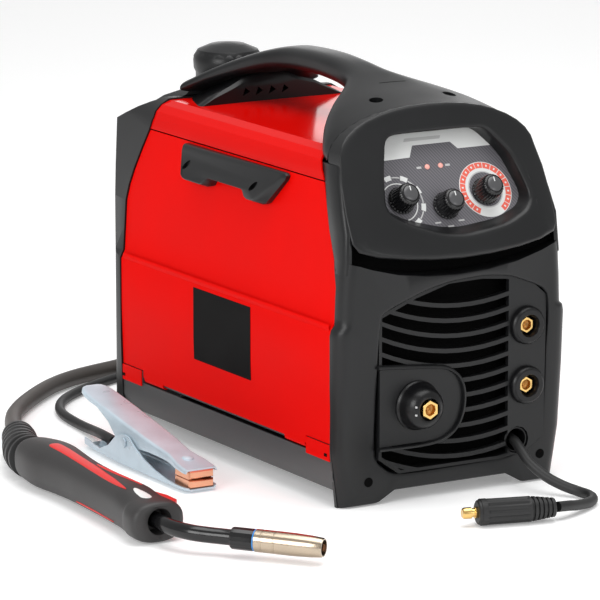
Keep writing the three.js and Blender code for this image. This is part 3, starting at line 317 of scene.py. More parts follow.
# ---------- pieces ----------
def piece(name, points, faces, look, body="machine", sharp=None):
    """A mesh from points of the machine's frame, riding on a body."""
    mesh = bpy.data.meshes.new(name)
    mesh.from_pydata([at(*point) for point in points], [], faces)
    shaped = bmesh.new()
    shaped.from_mesh(mesh)
    bmesh.ops.remove_doubles(shaped, verts=shaped.verts, dist=1e-6)
    bmesh.ops.recalc_face_normals(shaped, faces=shaped.faces)
    shaped.to_mesh(mesh)
    shaped.free()
    mesh.polygons.foreach_set("use_smooth", [True] * len(mesh.polygons))
    if sharp is not None:
        mesh.set_sharp_from_angle(angle=math.radians(sharp))
    mesh.materials.append(look)
    obj = bpy.data.objects.new(name, mesh)
    bpy.context.scene.collection.objects.link(obj)
    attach(obj, body)
    return obj


def loft(name, rings, look, body="machine", caps=True, sharp=None, around=True):
    """A skin through rings of points; each ring closes on itself when around is true."""
    count = len(rings[0])
    points = [point for ring in rings for point in ring]
    faces = []
    steps = count if around else count - 1
    for r in range(len(rings) - 1):
        for i in range(steps):
            a = r * count + i
            b = r * count + (i + 1) % count
            faces.append((a, b, b + count, a + count))
    if caps:
        last = (len(rings) - 1) * count
        faces.append(tuple(reversed(range(count))))
        faces.append(tuple(range(last, last + count)))
    return piece(name, points, faces, look, body, sharp)


def frame_along(aim):
    """Two directions square to the aim, and the aim itself."""
    forward = Vector(aim).normalized()
    helper = Vector((0, 0, 1)) if abs(forward.z) < 0.9 else Vector((1, 0, 0))
    side = forward.cross(helper).normalized()
    return side, side.cross(forward), forward


def turned(
    name, place, aim, profile, look, sides=40, body="machine", flutes=0, depth=0.0, sharp=32, caps=True,
):
    """A turned piece: profile rows are (distance along the aim, radius). Flutes cut grooves along it."""
    side, up, forward = frame_along(aim)
    start = Vector(place)
    rings = []
    for row in profile:
        along, radius = row[:2]
        fluted = depth if len(row) > 2 and row[2] else 0.0
        ring = []
        for i in range(sides):
            angle = 2 * math.pi * i / sides
            cutting = fluted * (0.5 - 0.5 * math.cos(flutes * angle)) ** 2
            reach = max(radius - cutting, 0.02)
            ring.append(
                start
                + forward * along
                + side * (reach * math.cos(angle))
                + up * (reach * math.sin(angle))
            )
        rings.append([tuple(point) for point in ring])
    return loft(name, rings, look, body, caps, sharp)


def prism(name, outline, direction, low, high, look, body="machine", edge=0.6):
    """A flat outline pushed along x, y or z, with its edges rounded."""
    place = {
        "x": lambda a, b, h: (h, a, b),
        "y": lambda a, b, h: (a, h, b),
        "z": lambda a, b, h: (a, b, h),
    }[direction]
    rings = [[place(a, b, h) for a, b in outline] for h in (low, high)]
    made = loft(name, rings, look, body, sharp=30)
    return bevel(made, edge) if edge else made


def superellipse(half_width, half_height, power, count, start=0.0):
    points = []
    for i in range(count):
        angle = start + 2 * math.pi * i / count
        c, s = math.cos(angle), math.sin(angle)
        points.append(
            (
                half_width * math.copysign(abs(c) ** (2 / power), c),
                half_height * math.copysign(abs(s) ** (2 / power), s),
            )
        )
    return points


def rounded(points, per_corner=4, share=0.3):
    """A closed outline with its corners rounded off."""
    made = []
    count = len(points)
    for i in range(count):
        corner = Vector(points[i])
        before = corner.lerp(Vector(points[i - 1]), share)
        after = corner.lerp(Vector(points[(i + 1) % count]), share)
        for k in range(per_corner + 1):
            t = k / per_corner
            made.append(tuple(before.lerp(corner, t).lerp(corner.lerp(after, t), t)))
    return made


def ray_reach(outline, centre, angle):
    """How far a ray from the centre goes before it meets the outline."""
    direction = Vector((math.cos(angle), math.sin(angle)))
    best = 0.0
    for i, start in enumerate(outline):
        a = Vector(start) - Vector(centre)
        b = Vector(outline[(i + 1) % len(outline)]) - Vector(centre)
        edge = b - a
        bottom = direction.x * edge.y - direction.y * edge.x
        if abs(bottom) < 1e-9:
            continue
        reach = (a.x * edge.y - a.y * edge.x) / bottom
        share = (a.x * direction.y - a.y * direction.x) / bottom
        if reach > 0 and -1e-6 <= share <= 1 + 1e-6:
            best = max(best, reach)
    return best


def star_angles(centre, *outlines, extra=96):
    """Angles that meet every corner of the outlines, seen from the centre, and even ones between."""
    angles = [2 * math.pi * i / extra - math.pi for i in range(extra)]
    for outline in outlines:
        angles += [math.atan2(z - centre[1], x - centre[0]) for x, z in outline]
    angles.sort()
    kept = [angles[0]]
    for angle in angles[1:]:
        if angle - kept[-1] > 0.012:
            kept.append(angle)
    return kept


def star_ring(outline, centre, angles):
    return [
        (
            centre[0] + ray_reach(outline, centre, angle) * math.cos(angle),
            centre[1] + ray_reach(outline, centre, angle) * math.sin(angle),
        )
        for angle in angles
    ]


def catmull(points, steps):
    """A smooth line through the points."""
    p = [Vector(point) for point in points]
    p = [p[0] * 2 - p[1], *p, p[-1] * 2 - p[-2]]
    made = []
    for i in range(1, len(p) - 2):
        a, b, c, d = p[i - 1 : i + 3]
        for k in range(steps):
            t = k / steps
            made.append(
                0.5
                * (
                    2 * b
                    + (c - a) * t
                    + (2 * a - 5 * b + 4 * c - d) * t * t
                    + (3 * b - a - 3 * c + d) * t**3
                )
            )
    made.append(p[-2])
    return made


# ---------- cords ----------
HOSE_Z = 8.3
HOSE_ROUTE = [
    (-263.2, 130, 17),
    (-250, 161, 14.5),
    (-235, 194, 11),
    (-215, 232, 8.6),
    (-193, 262, HOSE_Z),
    (-161, 296, HOSE_Z),
    (-125, 328, HOSE_Z),
    (-92, 348, HOSE_Z),
    (-60, 360, HOSE_Z),
    (-30, 369, HOSE_Z),
    (0, 383, HOSE_Z),
    (30, 403, HOSE_Z),
    (60, 422, HOSE_Z),
    (90, 437, HOSE_Z),
    (115, 444, HOSE_Z),
    (138, 446, HOSE_Z),
]
EARTH_Z = 5.05
EARTH_ROUTE = [
    (-188, 80, 12.5),
    (-186, 100, 12.5),
    (-181, 122, 10.5),
    (-175, 145, 7.5),
    (-171, 175, 5.4),
    (-168, 205, EARTH_Z),
    (-163, 232, EARTH_Z),
    (-151, 260, EARTH_Z),
    (-133, 284, EARTH_Z),
    (-108, 305, EARTH_Z),
    (-80, 323, EARTH_Z),
    (-51, 338, EARTH_Z),
    (-25, 350, EARTH_Z),
    (-6, 356.2, EARTH_Z),
]
POLARITY_Z = 5.0
POLARITY_ROUTE = [
    (68, -196, 43),
    (67, -208, 41.5),
    (66.5, -220, 35),
    (68, -232, 25.8),
    (75, -248, 15.9),
    (84, -262, 9.5),
    (92, -274, 6),
    (95, -287, POLARITY_Z),
    (90, -300, POLARITY_Z),
    (79, -310, 5.4),
    (60, -320.5, 8),
    (46, -326.5, 10.6),
    (32, -330, 12.2),
]


def coil(centre, arrival, leave_angle, whole_turns, diameter, inner, outer, low, end):
    """Clockwise turns seen from above: outside, then inside and up, then outside on top, and out to the end."""
    x, y = arrival[0] - centre[0], arrival[1] - centre[1]
    start = math.atan2(y, x)
    sweep = (start - leave_angle) % (2 * math.pi) + 2 * math.pi * whole_turns
    count = int(sweep / (2 * math.pi) * 28)
    reach = math.hypot(x, y)
    points = []
    for i in range(1, count + 1):
        turned_by = sweep * i / count
        lap = turned_by / (2 * math.pi)
        radius = reach + (outer - reach) * smoothstep(lap / 0.35)
        radius += (inner - outer) * smoothstep((lap - 0.9) / 0.3)
        radius += (outer - inner) * smoothstep((lap - 2.9) / 0.3)
        height = low + diameter * smoothstep((lap - 1.85) / 0.3)
        angle = start - turned_by
        points.append(
            (centre[0] + radius * math.cos(angle), centre[1] + radius * math.sin(angle), height)
        )
    last = Vector(points[-1])
    out = Vector(end)
    for k in range(1, 7):
        t = k / 6
        middle = last.lerp(out, t)
        middle.z = last.z + (out.z - last.z) * smoothstep(t)
        points.append(tuple(middle))
    return points


def cord_curve(name, points, diameter, look):
    data = bpy.data.curves.new(name, "CURVE")
    data.dimensions = "3D"
    data.bevel_depth = diameter / 2000
    data.bevel_resolution = 5
    data.use_fill_caps = True
    spline = data.splines.new("POLY")
    spline.points.add(len(points) - 1)
    for target, point in zip(spline.points, points):
        target.co = (*at(*point), 1)
    spline.use_smooth = True
    data.materials.append(look)
    obj = bpy.data.objects.new(name, data)
    bpy.context.scene.collection.objects.link(obj)
    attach(obj, "machine")
    return obj


def tie(name, centre, angle, inner, outer, top, look):
    """A strap round the turns of a coil."""
    rings = []
    half = 4.0
    for offset in (-half, -half, half, half):
        thick = 0.4 if len(rings) in (0, 3) else 1.3
        ring = []
        low, high = 0.3 if len(rings) in (0, 3) else 0.15, top + thick
        section = superellipse((outer - inner) / 2 + thick, (high - low) / 2, 5, 28)
        for a, b in section:
            r = (inner + outer) / 2 + a
            ring.append(
                (
                    centre[0] + r * math.cos(angle) - offset * math.sin(angle),
                    centre[1] + r * math.sin(angle) + offset * math.cos(angle),
                    (high + low) / 2 + b,
                )
            )
        rings.append(ring)
    return loft(name, rings, look, caps=False, sharp=40)


def build_plug(name, rear, front, tip, small, big, pin):
    """A cable plug: ring grooves at the cable end, a ribbed grip, and a metal pin with a groove."""
    aim = Vector(front) - Vector(rear)
    whole = aim.length
    profile = [(0, small - 2), (0.4, small - 0.6)]
    for i in range(5):
        start = 1.4 + 4.2 * i
        radius = small + (big - small) * min(1, start / 26)
        profile += [
            (start, radius), (start + 2.3, radius + 0.2), (start + 2.7, radius - 1.3),
            (start + 3.8, radius - 1.3),
        ]
    profile += [(23, big - 0.5), (25, big - 0.5), (26, big - 0.3, True), (whole - 9, big - 0.1, True)]
    profile += [
        (whole - 8, big), (whole - 3, big), (whole - 2.6, big - 0.8), (whole - 0.8, big - 1.2),
        (whole, big - 2.4),
    ]
    body = turned(name + "_body", rear, aim, profile, rubber, 96, flutes=12, depth=1.3)
    reach = (Vector(tip) - Vector(front)).length
    profile = [(-0.5, pin * 0.9), (1.2, pin), (2.2, pin), (2.5, pin * 0.78), (5, pin * 0.78), (5.4, pin)]
    profile += [(reach - 2.4, pin), (reach - 0.8, pin * 0.9), (reach, pin * 0.7), (reach - 0.2, pin * 0.2)]
    metal = turned(name + "_pin", front, aim, profile, brass, 40)
    return [body, metal]


def add_cords():
    earth_plug = build_plug(
        "earth_end", (-16.5, 242.75, 14), (-73.8, 242.75, 14), (-92, 242.75, 14), 10, 13.5, 6.4,
    )
    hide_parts("earth_plug")
    polarity_plug = build_plug(
        "polarity_end", (29, -329.9, 12.3), (-39.8, -310.6, 12.3), (-52.8, -306.9, 12.3), 8.4, 11.9, 5.1
    )
    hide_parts("polarity_plug")
    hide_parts("polarity_plug_pin")
    ties = {"hose": [], "earth": []}
    for label, centre, inner, outer, top, degrees in (
        ("hose", (195, 350), 71.6, 104.4, 32.5, 200),
        ("hose", (195, 350), 71.6, 104.4, 32.5, 290),
        ("earth", (30, 300), 42.8, 62.2, 19.5, 350),
        ("earth", (30, 300), 42.8, 62.2, 19.5, 190),
    ):
        strap = tie(
            "%s_tie_%d" % (label, degrees), centre, math.radians(degrees), inner, outer, top, soft_black,
        )
        ties[label].append(strap)
    # torch hose: boot, round the back of the machine, coil, connector
    hose_points = catmull(HOSE_ROUTE, 3)[:-1]
    hose_points += [Vector(HOSE_ROUTE[-1])]
    hose_points += coil((195, 350), HOSE_ROUTE[-1], 0.0, 4, 16, 80, 96, HOSE_Z, (291, 277.4, 19.5))
    hose = cord_curve("torch_hose_cord", hose_points, 16, hose_rubber)
    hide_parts("torch_hose", "torch_hose_coil")
    # earth lead: clamp, behind the machine, coil, plug
    earth_points = catmull(EARTH_ROUTE, 3)
    earth_points += coil(
        (30, 300), EARTH_ROUTE[-1], -math.pi / 2, 4, 9.5, 47.75, 57.25, EARTH_Z, (-16.2, 242.75, 14)
    )
    earth = cord_curve("earth_lead_cord", earth_points, 9.5, rubber)
    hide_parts("earth_lead", "earth_lead_coil")
    polarity_points = catmull(POLARITY_ROUTE, 4)
    polarity = cord_curve("polarity_lead_cord", polarity_points, 9.4, rubber)
    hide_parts("polarity_lead")


add_cords()


# ---------- cutting ----------
def box_cutter(low, high):
    mesh = bpy.data.meshes.new("cutter")
    corners = [(x, y, z) for x in (low[0], high[0]) for y in (low[1], high[1]) for z in (low[2], high[2])]
    faces = [(0, 1, 3, 2), (4, 6, 7, 5), (0, 4, 5, 1), (2, 3, 7, 6), (0, 2, 6, 4), (1, 5, 7, 3)]
    mesh.from_pydata([at(*corner) for corner in corners], [], faces)
    return bpy.data.objects.new("cutter", mesh)


def oval_cutter(middle, along, across, depth, sides=24):
    """An oval hole: along and across are its half axes, and depth is the way it is pushed."""
    points = []
    for place in (Vector(middle), Vector(middle) + Vector(depth)):
        for i in range(sides):
            angle = 2 * math.pi * i / sides
            points.append(at(*(place + Vector(along) * math.cos(angle) + Vector(across) * math.sin(angle))))
    faces = [tuple(range(sides)), tuple(reversed(range(sides, 2 * sides)))]
    for i in range(sides):
        j = (i + 1) % sides
        faces.append((i, i + sides, j + sides, j))
    mesh = bpy.data.meshes.new("cutter")
    mesh.from_pydata(points, [], faces)
    shaped = bmesh.new()
    shaped.from_mesh(mesh)
    bmesh.ops.recalc_face_normals(shaped, faces=shaped.faces)
    shaped.to_mesh(mesh)
    shaped.free()
    return bpy.data.objects.new("cutter", mesh)


def rod_cutter(start, end, radius, sides=24):
    depth = Vector(end) - Vector(start)
    side, up, _ = frame_along(depth)
    return oval_cutter(start, side * radius, up * radius, depth, sides)


def carve(obj, *cutters, sharp=35):
    """Cuts the cutters out of the piece for good."""
    for cutter in cutters:
        bpy.context.scene.collection.objects.link(cutter)
        modifier = obj.modifiers.new("cut", "BOOLEAN")
        modifier.operation = "DIFFERENCE"
        modifier.solver = "EXACT"
        modifier.object = cutter
    graph = bpy.context.evaluated_depsgraph_get()
    made = bpy.data.meshes.new_from_object(obj.evaluated_get(graph))
    obj.modifiers.clear()
    obj.data = made
    made.polygons.foreach_set("use_smooth", [True] * len(made.polygons))
    made.set_sharp_from_angle(angle=math.radians(sharp))
    for cutter in cutters:
        bpy.data.objects.remove(cutter)
    return obj


# ---------- control hood and front shell ----------
LEAN = math.tan(math.radians(24))
CROWN = {"half": 102.0, "base": 306.0, "rise": 43.0, "power": 2.15}


def crown_points(steps=9):
    """The hood's arch, from its right shoulder to its top."""
    made = []
    for i in range(steps + 1):
        angle = math.pi / 2 * i / steps
        x = CROWN["half"] * max(math.cos(angle), 0.0) ** (2 / CROWN["power"])
        z = CROWN["base"] + CROWN["rise"] * math.sin(angle) ** (2 / CROWN["power"])
        made.append((x, z))
    return made


def mirrored(half):
    """The half outline, and its mirror image back to the start."""
    return half + [(-x, z) for x, z in reversed(half) if x > 1e-6]


HOOD_HALF = [
    (0, 219),
    (30, 220),
    (60, 223),
    (85, 227),
    (102, 232.5),
    (107, 239),
    (107.4, 262),
    (105.6, 288),
]
HOOD_OUTLINE = mirrored(HOOD_HALF + crown_points())
HOOD_CENTRE = (4, 285)
WINDOW = [
    (8, 240),
    (52, 245),
    (76, 254),
    (84, 265),
    (74, 300),
    (56, 321),
    (47, 326),
    (-44, 326),
    (-52, 321),
    (-61, 295),
    (-67, 270),
    (-64, 262),
    (-50, 253),
    (-14, 242),
]
PANEL_BASE = Vector((0, -205, 243))
PANEL_TILT = math.radians(31)
UP_SLOPE = Vector((0, math.sin(PANEL_TILT), math.cos(PANEL_TILT)))
OUTWARD = Vector((0, -math.cos(PANEL_TILT), math.sin(PANEL_TILT)))


def seam_y(z):
    return FRONT + (z - 237) * LEAN


def hood_face(x, z):
    """How far forward the hood's face is: it swells out of its seam, most at the bottom middle."""
    across = 1 - min(abs(x) / 108, 1) ** 4
    return seam_y(z) - 1.5 - 8 * across * clamp01((335 - z) / 110)


def grown(ring, centre, amount):
    """The ring moved outwards by an amount."""
    made = []
    for x, z in ring:
        reach = math.hypot(x - centre[0], z - centre[1])
        factor = (reach + amount) / reach
        made.append((centre[0] + (x - centre[0]) * factor, centre[1] + (z - centre[1]) * factor))
    return made


def build_hood():
    angles = star_angles(HOOD_CENTRE, HOOD_OUTLINE, rounded(WINDOW, 3))
    outer = star_ring(HOOD_OUTLINE, HOOD_CENTRE, angles)
    window = star_ring(rounded(WINDOW, 3), HOOD_CENTRE, angles)
    rings = []

    def tuck(z):
        return 4.5 * (1 - smoothstep((z - 292) / 14))

    def inset(point, amount):
        (x, z), = grown([point], HOOD_CENTRE, -amount)
        return x, z

    back = [inset(point, tuck(point[1])) for point in outer]
    rings.append([(x, min(seam_y(z) + 20, -160.2), z) for x, z in back])
    rings.append([(x, min(seam_y(z) + 0.4, -160.2), z) for x, z in back])
    rings.append([(x, seam_y(z) + 0.2, z) for x, z in outer])
    for degrees in (8, 30, 52, 72, 90):
        turn = math.radians(degrees)
        ring = []
        for point in outer:
            radius = 19 - 13 * smoothstep((point[1] - 300) / 40) - 12 * smoothstep((240 - point[1]) / 12)
            x, z = inset(point, radius * (1 - math.cos(turn)))
            behind = seam_y(z) - hood_face(x, z)
            ring.append((x, hood_face(x, z) + behind * (1 - math.sin(turn)), z))
        rings.append(ring)
    rim = grown(window, HOOD_CENTRE, 7)
    edge = [(x, z) for x, _, z in rings[-1]]
    rings.append(
        [
            ((a + c) / 2, hood_face((a + c) / 2, (b + d) / 2), (b + d) / 2)
            for (a, b), (c, d) in zip(edge, rim)
        ],
    )
    for amount, depth in ((7, -0.3), (3, -0.2), (1, 0.8), (0, 2.6), (-1.2, 8)):
        rings.append([(x, hood_face(x, z) + depth, z) for x, z in grown(window, HOOD_CENTRE, amount)])
    floor = grown(window, HOOD_CENTRE, -3.5)
    rings.append([(x, PANEL_BASE.y + (z - PANEL_BASE.z) * math.tan(PANEL_TILT) + 0.2, z) for x, z in floor])
    hood = loft("hood_moulding", rings, charcoal, caps=False, sharp=60)
    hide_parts("control_hood")


FRONT_EDGE = [
    (-5, -196.4),
    (200, -196.4),
    (222, -190.4),
    (250, -178.4),
    (287, -164.4),
    (296, -158.4),
    (312, -146.4),
]
SHELL_HALF = [
    (0, 10),
    (64, 10),
    (84, 0),
    (113, 0),
    (119.6, 50),
    (121, 110),
    (121, 157),
    (119.6, 162.5),
    (116.2, 165),
    (115.3, 191),
    (113.8, 215),
    (112.6, 223),
    (100, 219),
    (70, 212),
    (35, 207),
    (0, 205.5),
]
RECESS = [
    (-82, 43),
    (-60, 25.5),
    (50, 27),
    (76, 31),
    (97, 44),
    (99.5, 172),
    (92, 182),
    (58, 195.5),
    (30, 199),
    (-6, 197),
    (-30, 192),
    (-66, 179),
    (-79, 172),
]
SHELL_CENTRE = (9, 110)


def shell_face(x, z):
    """The front face leans in to the floor, and swells a little under the hood."""
    lean = 8 * clamp01((162 - z) / 162)
    swell = 5 * (1 - min(abs(x) / 112, 1) ** 2) * smoothstep((z - 180) / 40)
    return FRONT + lean - swell


def build_front_shell():
    outline = SHELL_HALF + [(-x, z) for x, z in reversed(SHELL_HALF) if x > 1e-6]
    recess = rounded(RECESS, 3, 0.25)
    angles = star_angles(SHELL_CENTRE, outline, recess, extra=120)
    outer = star_ring(outline, SHELL_CENTRE, angles)
    inner = star_ring(recess, SHELL_CENTRE, angles)
    rings = [[(x, interpolate(FRONT_EDGE, z)[0], z) for x, z in outer]]
    for degrees in (0, 18, 36, 54, 72, 90):
        turn = math.radians(degrees)
        ring = []
        for x, z in outer:
            shrink = 1 - (1 - math.cos(turn)) * 13 / 120
            lift = (1 - math.cos(turn)) * 3
            centre_z = z + (lift if z < 20 else -lift if z > 205 else 0)
            face = shell_face(x * shrink, centre_z)
            ring.append((x * shrink, face + 13 * (1 - math.sin(turn)), centre_z))
        rings.append(ring)
    for amount, depth in ((3.5, 0.0), (1.2, 0.2), (0.2, 1.0), (0, 2.4), (-0.6, 22)):
        rings.append([(x, shell_face(x, z) + depth, z) for x, z in grown(inner, SHELL_CENTRE, amount)])
    shell = loft("front_moulding", rings, charcoal, caps=False, sharp=50)
    # painted shade: flat near-black discs on the feet stand for the shaded screw holes
    for x, z in ((-86.5, 22.5), (95.5, 26)):
        well = turned(
            "foot_screw_hole_shade_%d" % (x > 0),
            (x, shell_face(x, z) - 0.5, z),
            (0, 1, 0),
            [(0.1, 4.4), (0, 4.0), (0.1, 0.4)],
            painted_shade_black,
            24,
        )
    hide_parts("front_shell")


def build_gap_shade_sheet():
    """A near-black sheet of painted shade across the gap between the hood and the front shell."""
    rings = []
    for i in range(23):
        x = -108 + 216 * i / 22
        low = interpolate(
            [
                (-112, 222), (-100, 219), (-70, 212), (-35, 207), (0, 205.5), (35, 207), (70, 212),
                (100, 219), (112, 222),
            ],
            x,
        )[0]
        rings.append(
            [
                (x, y, low + dz)
                for y, dz in (
                    (FRONT + 13, -8), (FRONT + 13, 2), (FRONT + 22, 22), (FRONT + 25, 22),
                    (FRONT + 25, -8),
                )
            ],
        )
    gap = loft("gap_shade_sheet", rings, painted_shade_black, sharp=40)


def build_side_strips():
    """The front shell goes on up beside the hood in two narrow strips."""
    widths = [
        (212, 114.0), (223, 112.9), (248, 111.6), (268, 109.6), (288, 106.4), (298, 104.2), (304, 102.4),
    ]
    for side, label in ((-1, "left"), (1, "right")):
        rings = []
        for z, half in widths:
            y0 = seam_y(max(z, 224)) + 0.4 + 9 * (1 - smoothstep((z - 222) / 14))
            y1 = interpolate(FRONT_EDGE, z)[0]
            section = [
                (half - 6.5, y0),
                (half - 3.2, y0),
                (half - 1.0, y0 + 1.8),
                (half, y0 + 6),
                (half + 0.3, (y0 + y1) / 2),
                (half, y1 - 1.2),
                (half - 0.6, y1),
                (half - 3, y1),
                (half - 4, y0 + 8),
            ]
            rings.append([(side * x, y, z) for x, y in section])
        strip = loft("front_strip_" + label, rings, charcoal, sharp=50)


# ---------- top handle ----------
# y, half width, top, bottom, height of the widest place, squareness
HANDLE_ROWS = [
    (-160.2, 102, 349, 301, 306, 2.15),
    (-146, 98, 351, 305, 312, 2.2),
    (-125, 84, 354.5, 314, 325, 2.3),
    (-104, 64, 358, 321.5, 337, 2.5),
    (-85, 42, 362, 333, 347.5, 2.7),
    (-65, 25, 366.5, 341.5, 354.5, 2.9),
    (-40, 18.5, 371, 347.5, 359.5, 3.0),
    (-10, 18, 373.5, 351, 362.5, 3.0),
    (20, 18, 374, 352, 363, 3.0),
    (55, 19.5, 372.5, 351.3, 361.5, 3.0),
    (80, 27, 368.5, 348.3, 357.5, 2.9),
    (105, 43, 361, 340.5, 348, 2.8),
    (130, 61, 350, 330, 337, 2.6),
    (152, 76, 338, 319, 325, 2.4),
]


def build_handle():
    rows = catmull([Vector(row) for row in HANDLE_ROWS], 4)
    rings = []
    for y, half, top, bottom, widest, power in rows:
        ring = []
        for i in range(64):
            angle = 2 * math.pi * i / 64
            c, s = math.cos(angle), math.sin(angle)
            x = half * math.copysign(abs(c) ** (2 / power), c)
            reach = (top - widest) if s > 0 else (widest - bottom)
            ring.append((x, y, widest + reach * math.copysign(abs(s) ** (2 / power), s)))
        rings.append(ring)
    handle = loft("handle_moulding", rings, charcoal, sharp=60)
    wells = [rod_cutter((x, -133, 341), (x * 1.04, -136, 364), 6.4) for x in (-35, 41)]
    slot = box_cutter((-10, -98.5, 356), (18, -97.3, 366))
    carve(handle, box_cutter((-74, -175, 288), (74, -140, 324)), slot, *wells, sharp=50)
    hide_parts("top_handle")


def build_saddle():
    """The ribbed saddle that closes the space between the roof and the rear of the handle."""
    rows = [(100, 0.0), (103, 0.7), (110, 0.9), (130, 1.0), (152, 1.0)]
    outline = [
        (-93, 309.5),
        (-88, 314),
        (-70, 325),
        (-50, 334),
        (-36, 341),
        (-14, 345),
        (10, 344),
        (24, 338),
        (42, 333),
        (56, 326),
        (70, 319),
        (88, 311),
    ]
    rings = []
    for y, share in rows:
        drop = 0.24 * (y - 100)
        top = [
            (
                x * (1 - 0.03 * (1 - share)), y,
                308.5 + (z - 308.5) * (0.82 + 0.18 * share) - drop * (z > 312),
            )
            for x, z in outline
        ]
        rings.append(top + [(88, y, 300), (-93, y, 300)])
    saddle = loft("handle_saddle", rings, soft_black, sharp=40)
    slots = [
        oval_cutter((x, 96, 326), (4.4, 0, 0), (1.6, 0, 4.6), (0, 11, -1), 3)
        for x in (-34, -20, -6, 8)
    ]
    carve(saddle, *slots, sharp=40)
    profile = [
        (0, 31.5), (4, 32.8), (10, 33.2), (14.5, 32.4), (18.4, 29.6), (21.6, 25), (24.2, 18.5),
        (26, 11), (26.9, 3),
    ]
    cap = turned("cable_post_cap", (0, 194, 331.4), (0, 0, 1), profile, charcoal, 72)


# ---------- control panel ----------
def on_panel(x, z, out=0.0, u=0.0, v=0.0):
    """A point of the panel's face over (x, z), moved u across and v up the slope."""
    rise = (z - PANEL_BASE.z) / math.cos(PANEL_TILT) + v
    point = PANEL_BASE + UP_SLOPE * rise + OUTWARD * out
    return (x + u, point.y, point.z)


def panel_print_piece(name, x, z, outline, look, low=0.02, high=0.3, body="machine"):
    """A flat printed shape on the panel: outline points are (across, up the slope)."""
    rings = [[on_panel(x, z, out, u, v) for u, v in outline] for out in (low, high)]
    made = loft(name, rings, look, body, sharp=30)
    return made


def arc_outline(inner, outer, start, end, steps=6):
    """Part of a ring, with angles in degrees clockwise from straight up."""
    angles = [math.radians(start + (end - start) * i / steps) for i in range(steps + 1)]
    far = [(outer * math.sin(a), outer * math.cos(a)) for a in angles]
    near = [(inner * math.sin(a), inner * math.cos(a)) for a in reversed(angles)]
    return far + near


def box_outline(u, v, half_width, half_height):
    return [(u + a * half_width, v + b * half_height) for a, b in ((-1, -1), (1, -1), (1, 1), (-1, 1))]


def disc_outline(radius, sides=40):
    return [
        (radius * math.cos(2 * math.pi * i / sides), radius * math.sin(2 * math.pi * i / sides))
        for i in range(sides)
    ]


KNOBS = [("left", -44, 269), ("middle", 0, 261), ("right", 44, 269)]


def build_knobs():
    for label, x, z in KNOBS:
        body = label + "_knob"
        start = on_panel(x, z, 0.9)
        profile = [
            (0, 10),
            (0, 12.6),
            (1.8, 12.8),
            (2.6, 12.2, True),
            (4.4, 11.8, True),
            (14.5, 10.9, True),
            (16.8, 10.3, True),
            (18.2, 9.2),
            (18.9, 8.0),
            (18.9, 7.2),
        ]
        knob = turned(
            "knob_body_" + label, start, OUTWARD, profile, gloss_black, 144, body, flutes=24, depth=0.5,
        )
        cap = turned(
            "knob_cap_" + label, start, OUTWARD, [(18.8, 7.1), (19.6, 6.9), (20.1, 6.0), (20.4, 3)],
            cap_grey, 40, body
        )
        line = [(-0.45, 2.0), (0.45, 2.0), (0.45, 6.2), (-0.45, 6.2)]
        rings = [[on_panel(x, z, out, u, v) for u, v in line] for out in (20.6, 21.4)]
        mark = loft("knob_mark_" + label, rings, white_print, body, sharp=30)
        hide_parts("knob_" + label)


def build_panel_prints():
    header = [(-62, 69), (-22, 70), (-16, 81), (24, 81), (30, 74), (75, 74), (62, 97), (-56, 97)]
    panel_print_piece("print_header", 0, 243, header, white_print)
    stripes = [(-24, 85), (14, 85), (16, 88), (-22, 88)]
    panel_print_piece("print_header_stripe", 0, 243, stripes, light_print, 0.3, 0.42)
    # right dial: pale disc, ring of red fields, and a silver ring round the knob
    x, z = 46, 271
    panel_print_piece("print_dial_disc", x, z, disc_outline(26.5, 56), white_print)
    for i in range(15):
        start = -150 + i * 20
        field = arc_outline(20.5, 25.8, start, start + 18.2, 4)
        panel_print_piece("print_dial_field_%02d" % i, x, z, field, red_print, 0.3, 0.42)
        mark = arc_outline(22.2, 24.2, start + 7.2, start + 11, 2)
        panel_print_piece("print_dial_mark_%02d" % i, x, z, mark, white_print, 0.42, 0.5)
    panel_print_piece("print_dial_ring", x, z, disc_outline(17.6, 48), light_print, 0.3, 0.42)
    panel_print_piece("print_dial_middle", x, z, disc_outline(16.4, 48), panel_print, 0.42, 0.5)
    # left dial: white fields on a thin ring
    x, z = -45, 268
    for i, start in enumerate((-62, -22, 18, 58, 98, 138)):
        field = arc_outline(21.5, 26.0, start, start + 17, 4)
        panel_print_piece("print_left_field_%d" % i, x, z, field, white_print)
        link = arc_outline(23.0, 24.2, start + 18.5, start + 38.5, 4)
        panel_print_piece("print_left_link_%d" % i, x, z, link, light_print)
    panel_print_piece("print_left_ring", x, z, arc_outline(17.2, 18.2, -170, 170, 40), white_print)
    # small signs beside the lamps and under the middle knob
    for i, u in enumerate((-15.5, 14.5)):
        panel_print_piece(
            "print_lamp_sign_%d" % i, u, 294, [(-2.4, -1), (2.4, -1), (2.4, 1), (-2.4, 1)], light_print,
        )
    for i in range(3):
        angle = math.radians(140 + 40 * i)
        u, v = 19 * math.sin(angle), 19 * math.cos(angle)
        sign = [(-3, -0.7), (3, -0.7), (3, 0.7), (-3, 0.7)]
        panel_print_piece("print_middle_sign_%d" % i, u, 261, [(a, b + v) for a, b in sign], light_print)
    for i, u in enumerate((-7, 7)):
        start = on_panel(u, 294, 0.2)
        glass = turned(
            "lamp_lens_%d" % i, start, OUTWARD, [(0, 2.5), (0.8, 2.4), (1.5, 1.7), (1.8, 0.7)], lens, 24,
        )


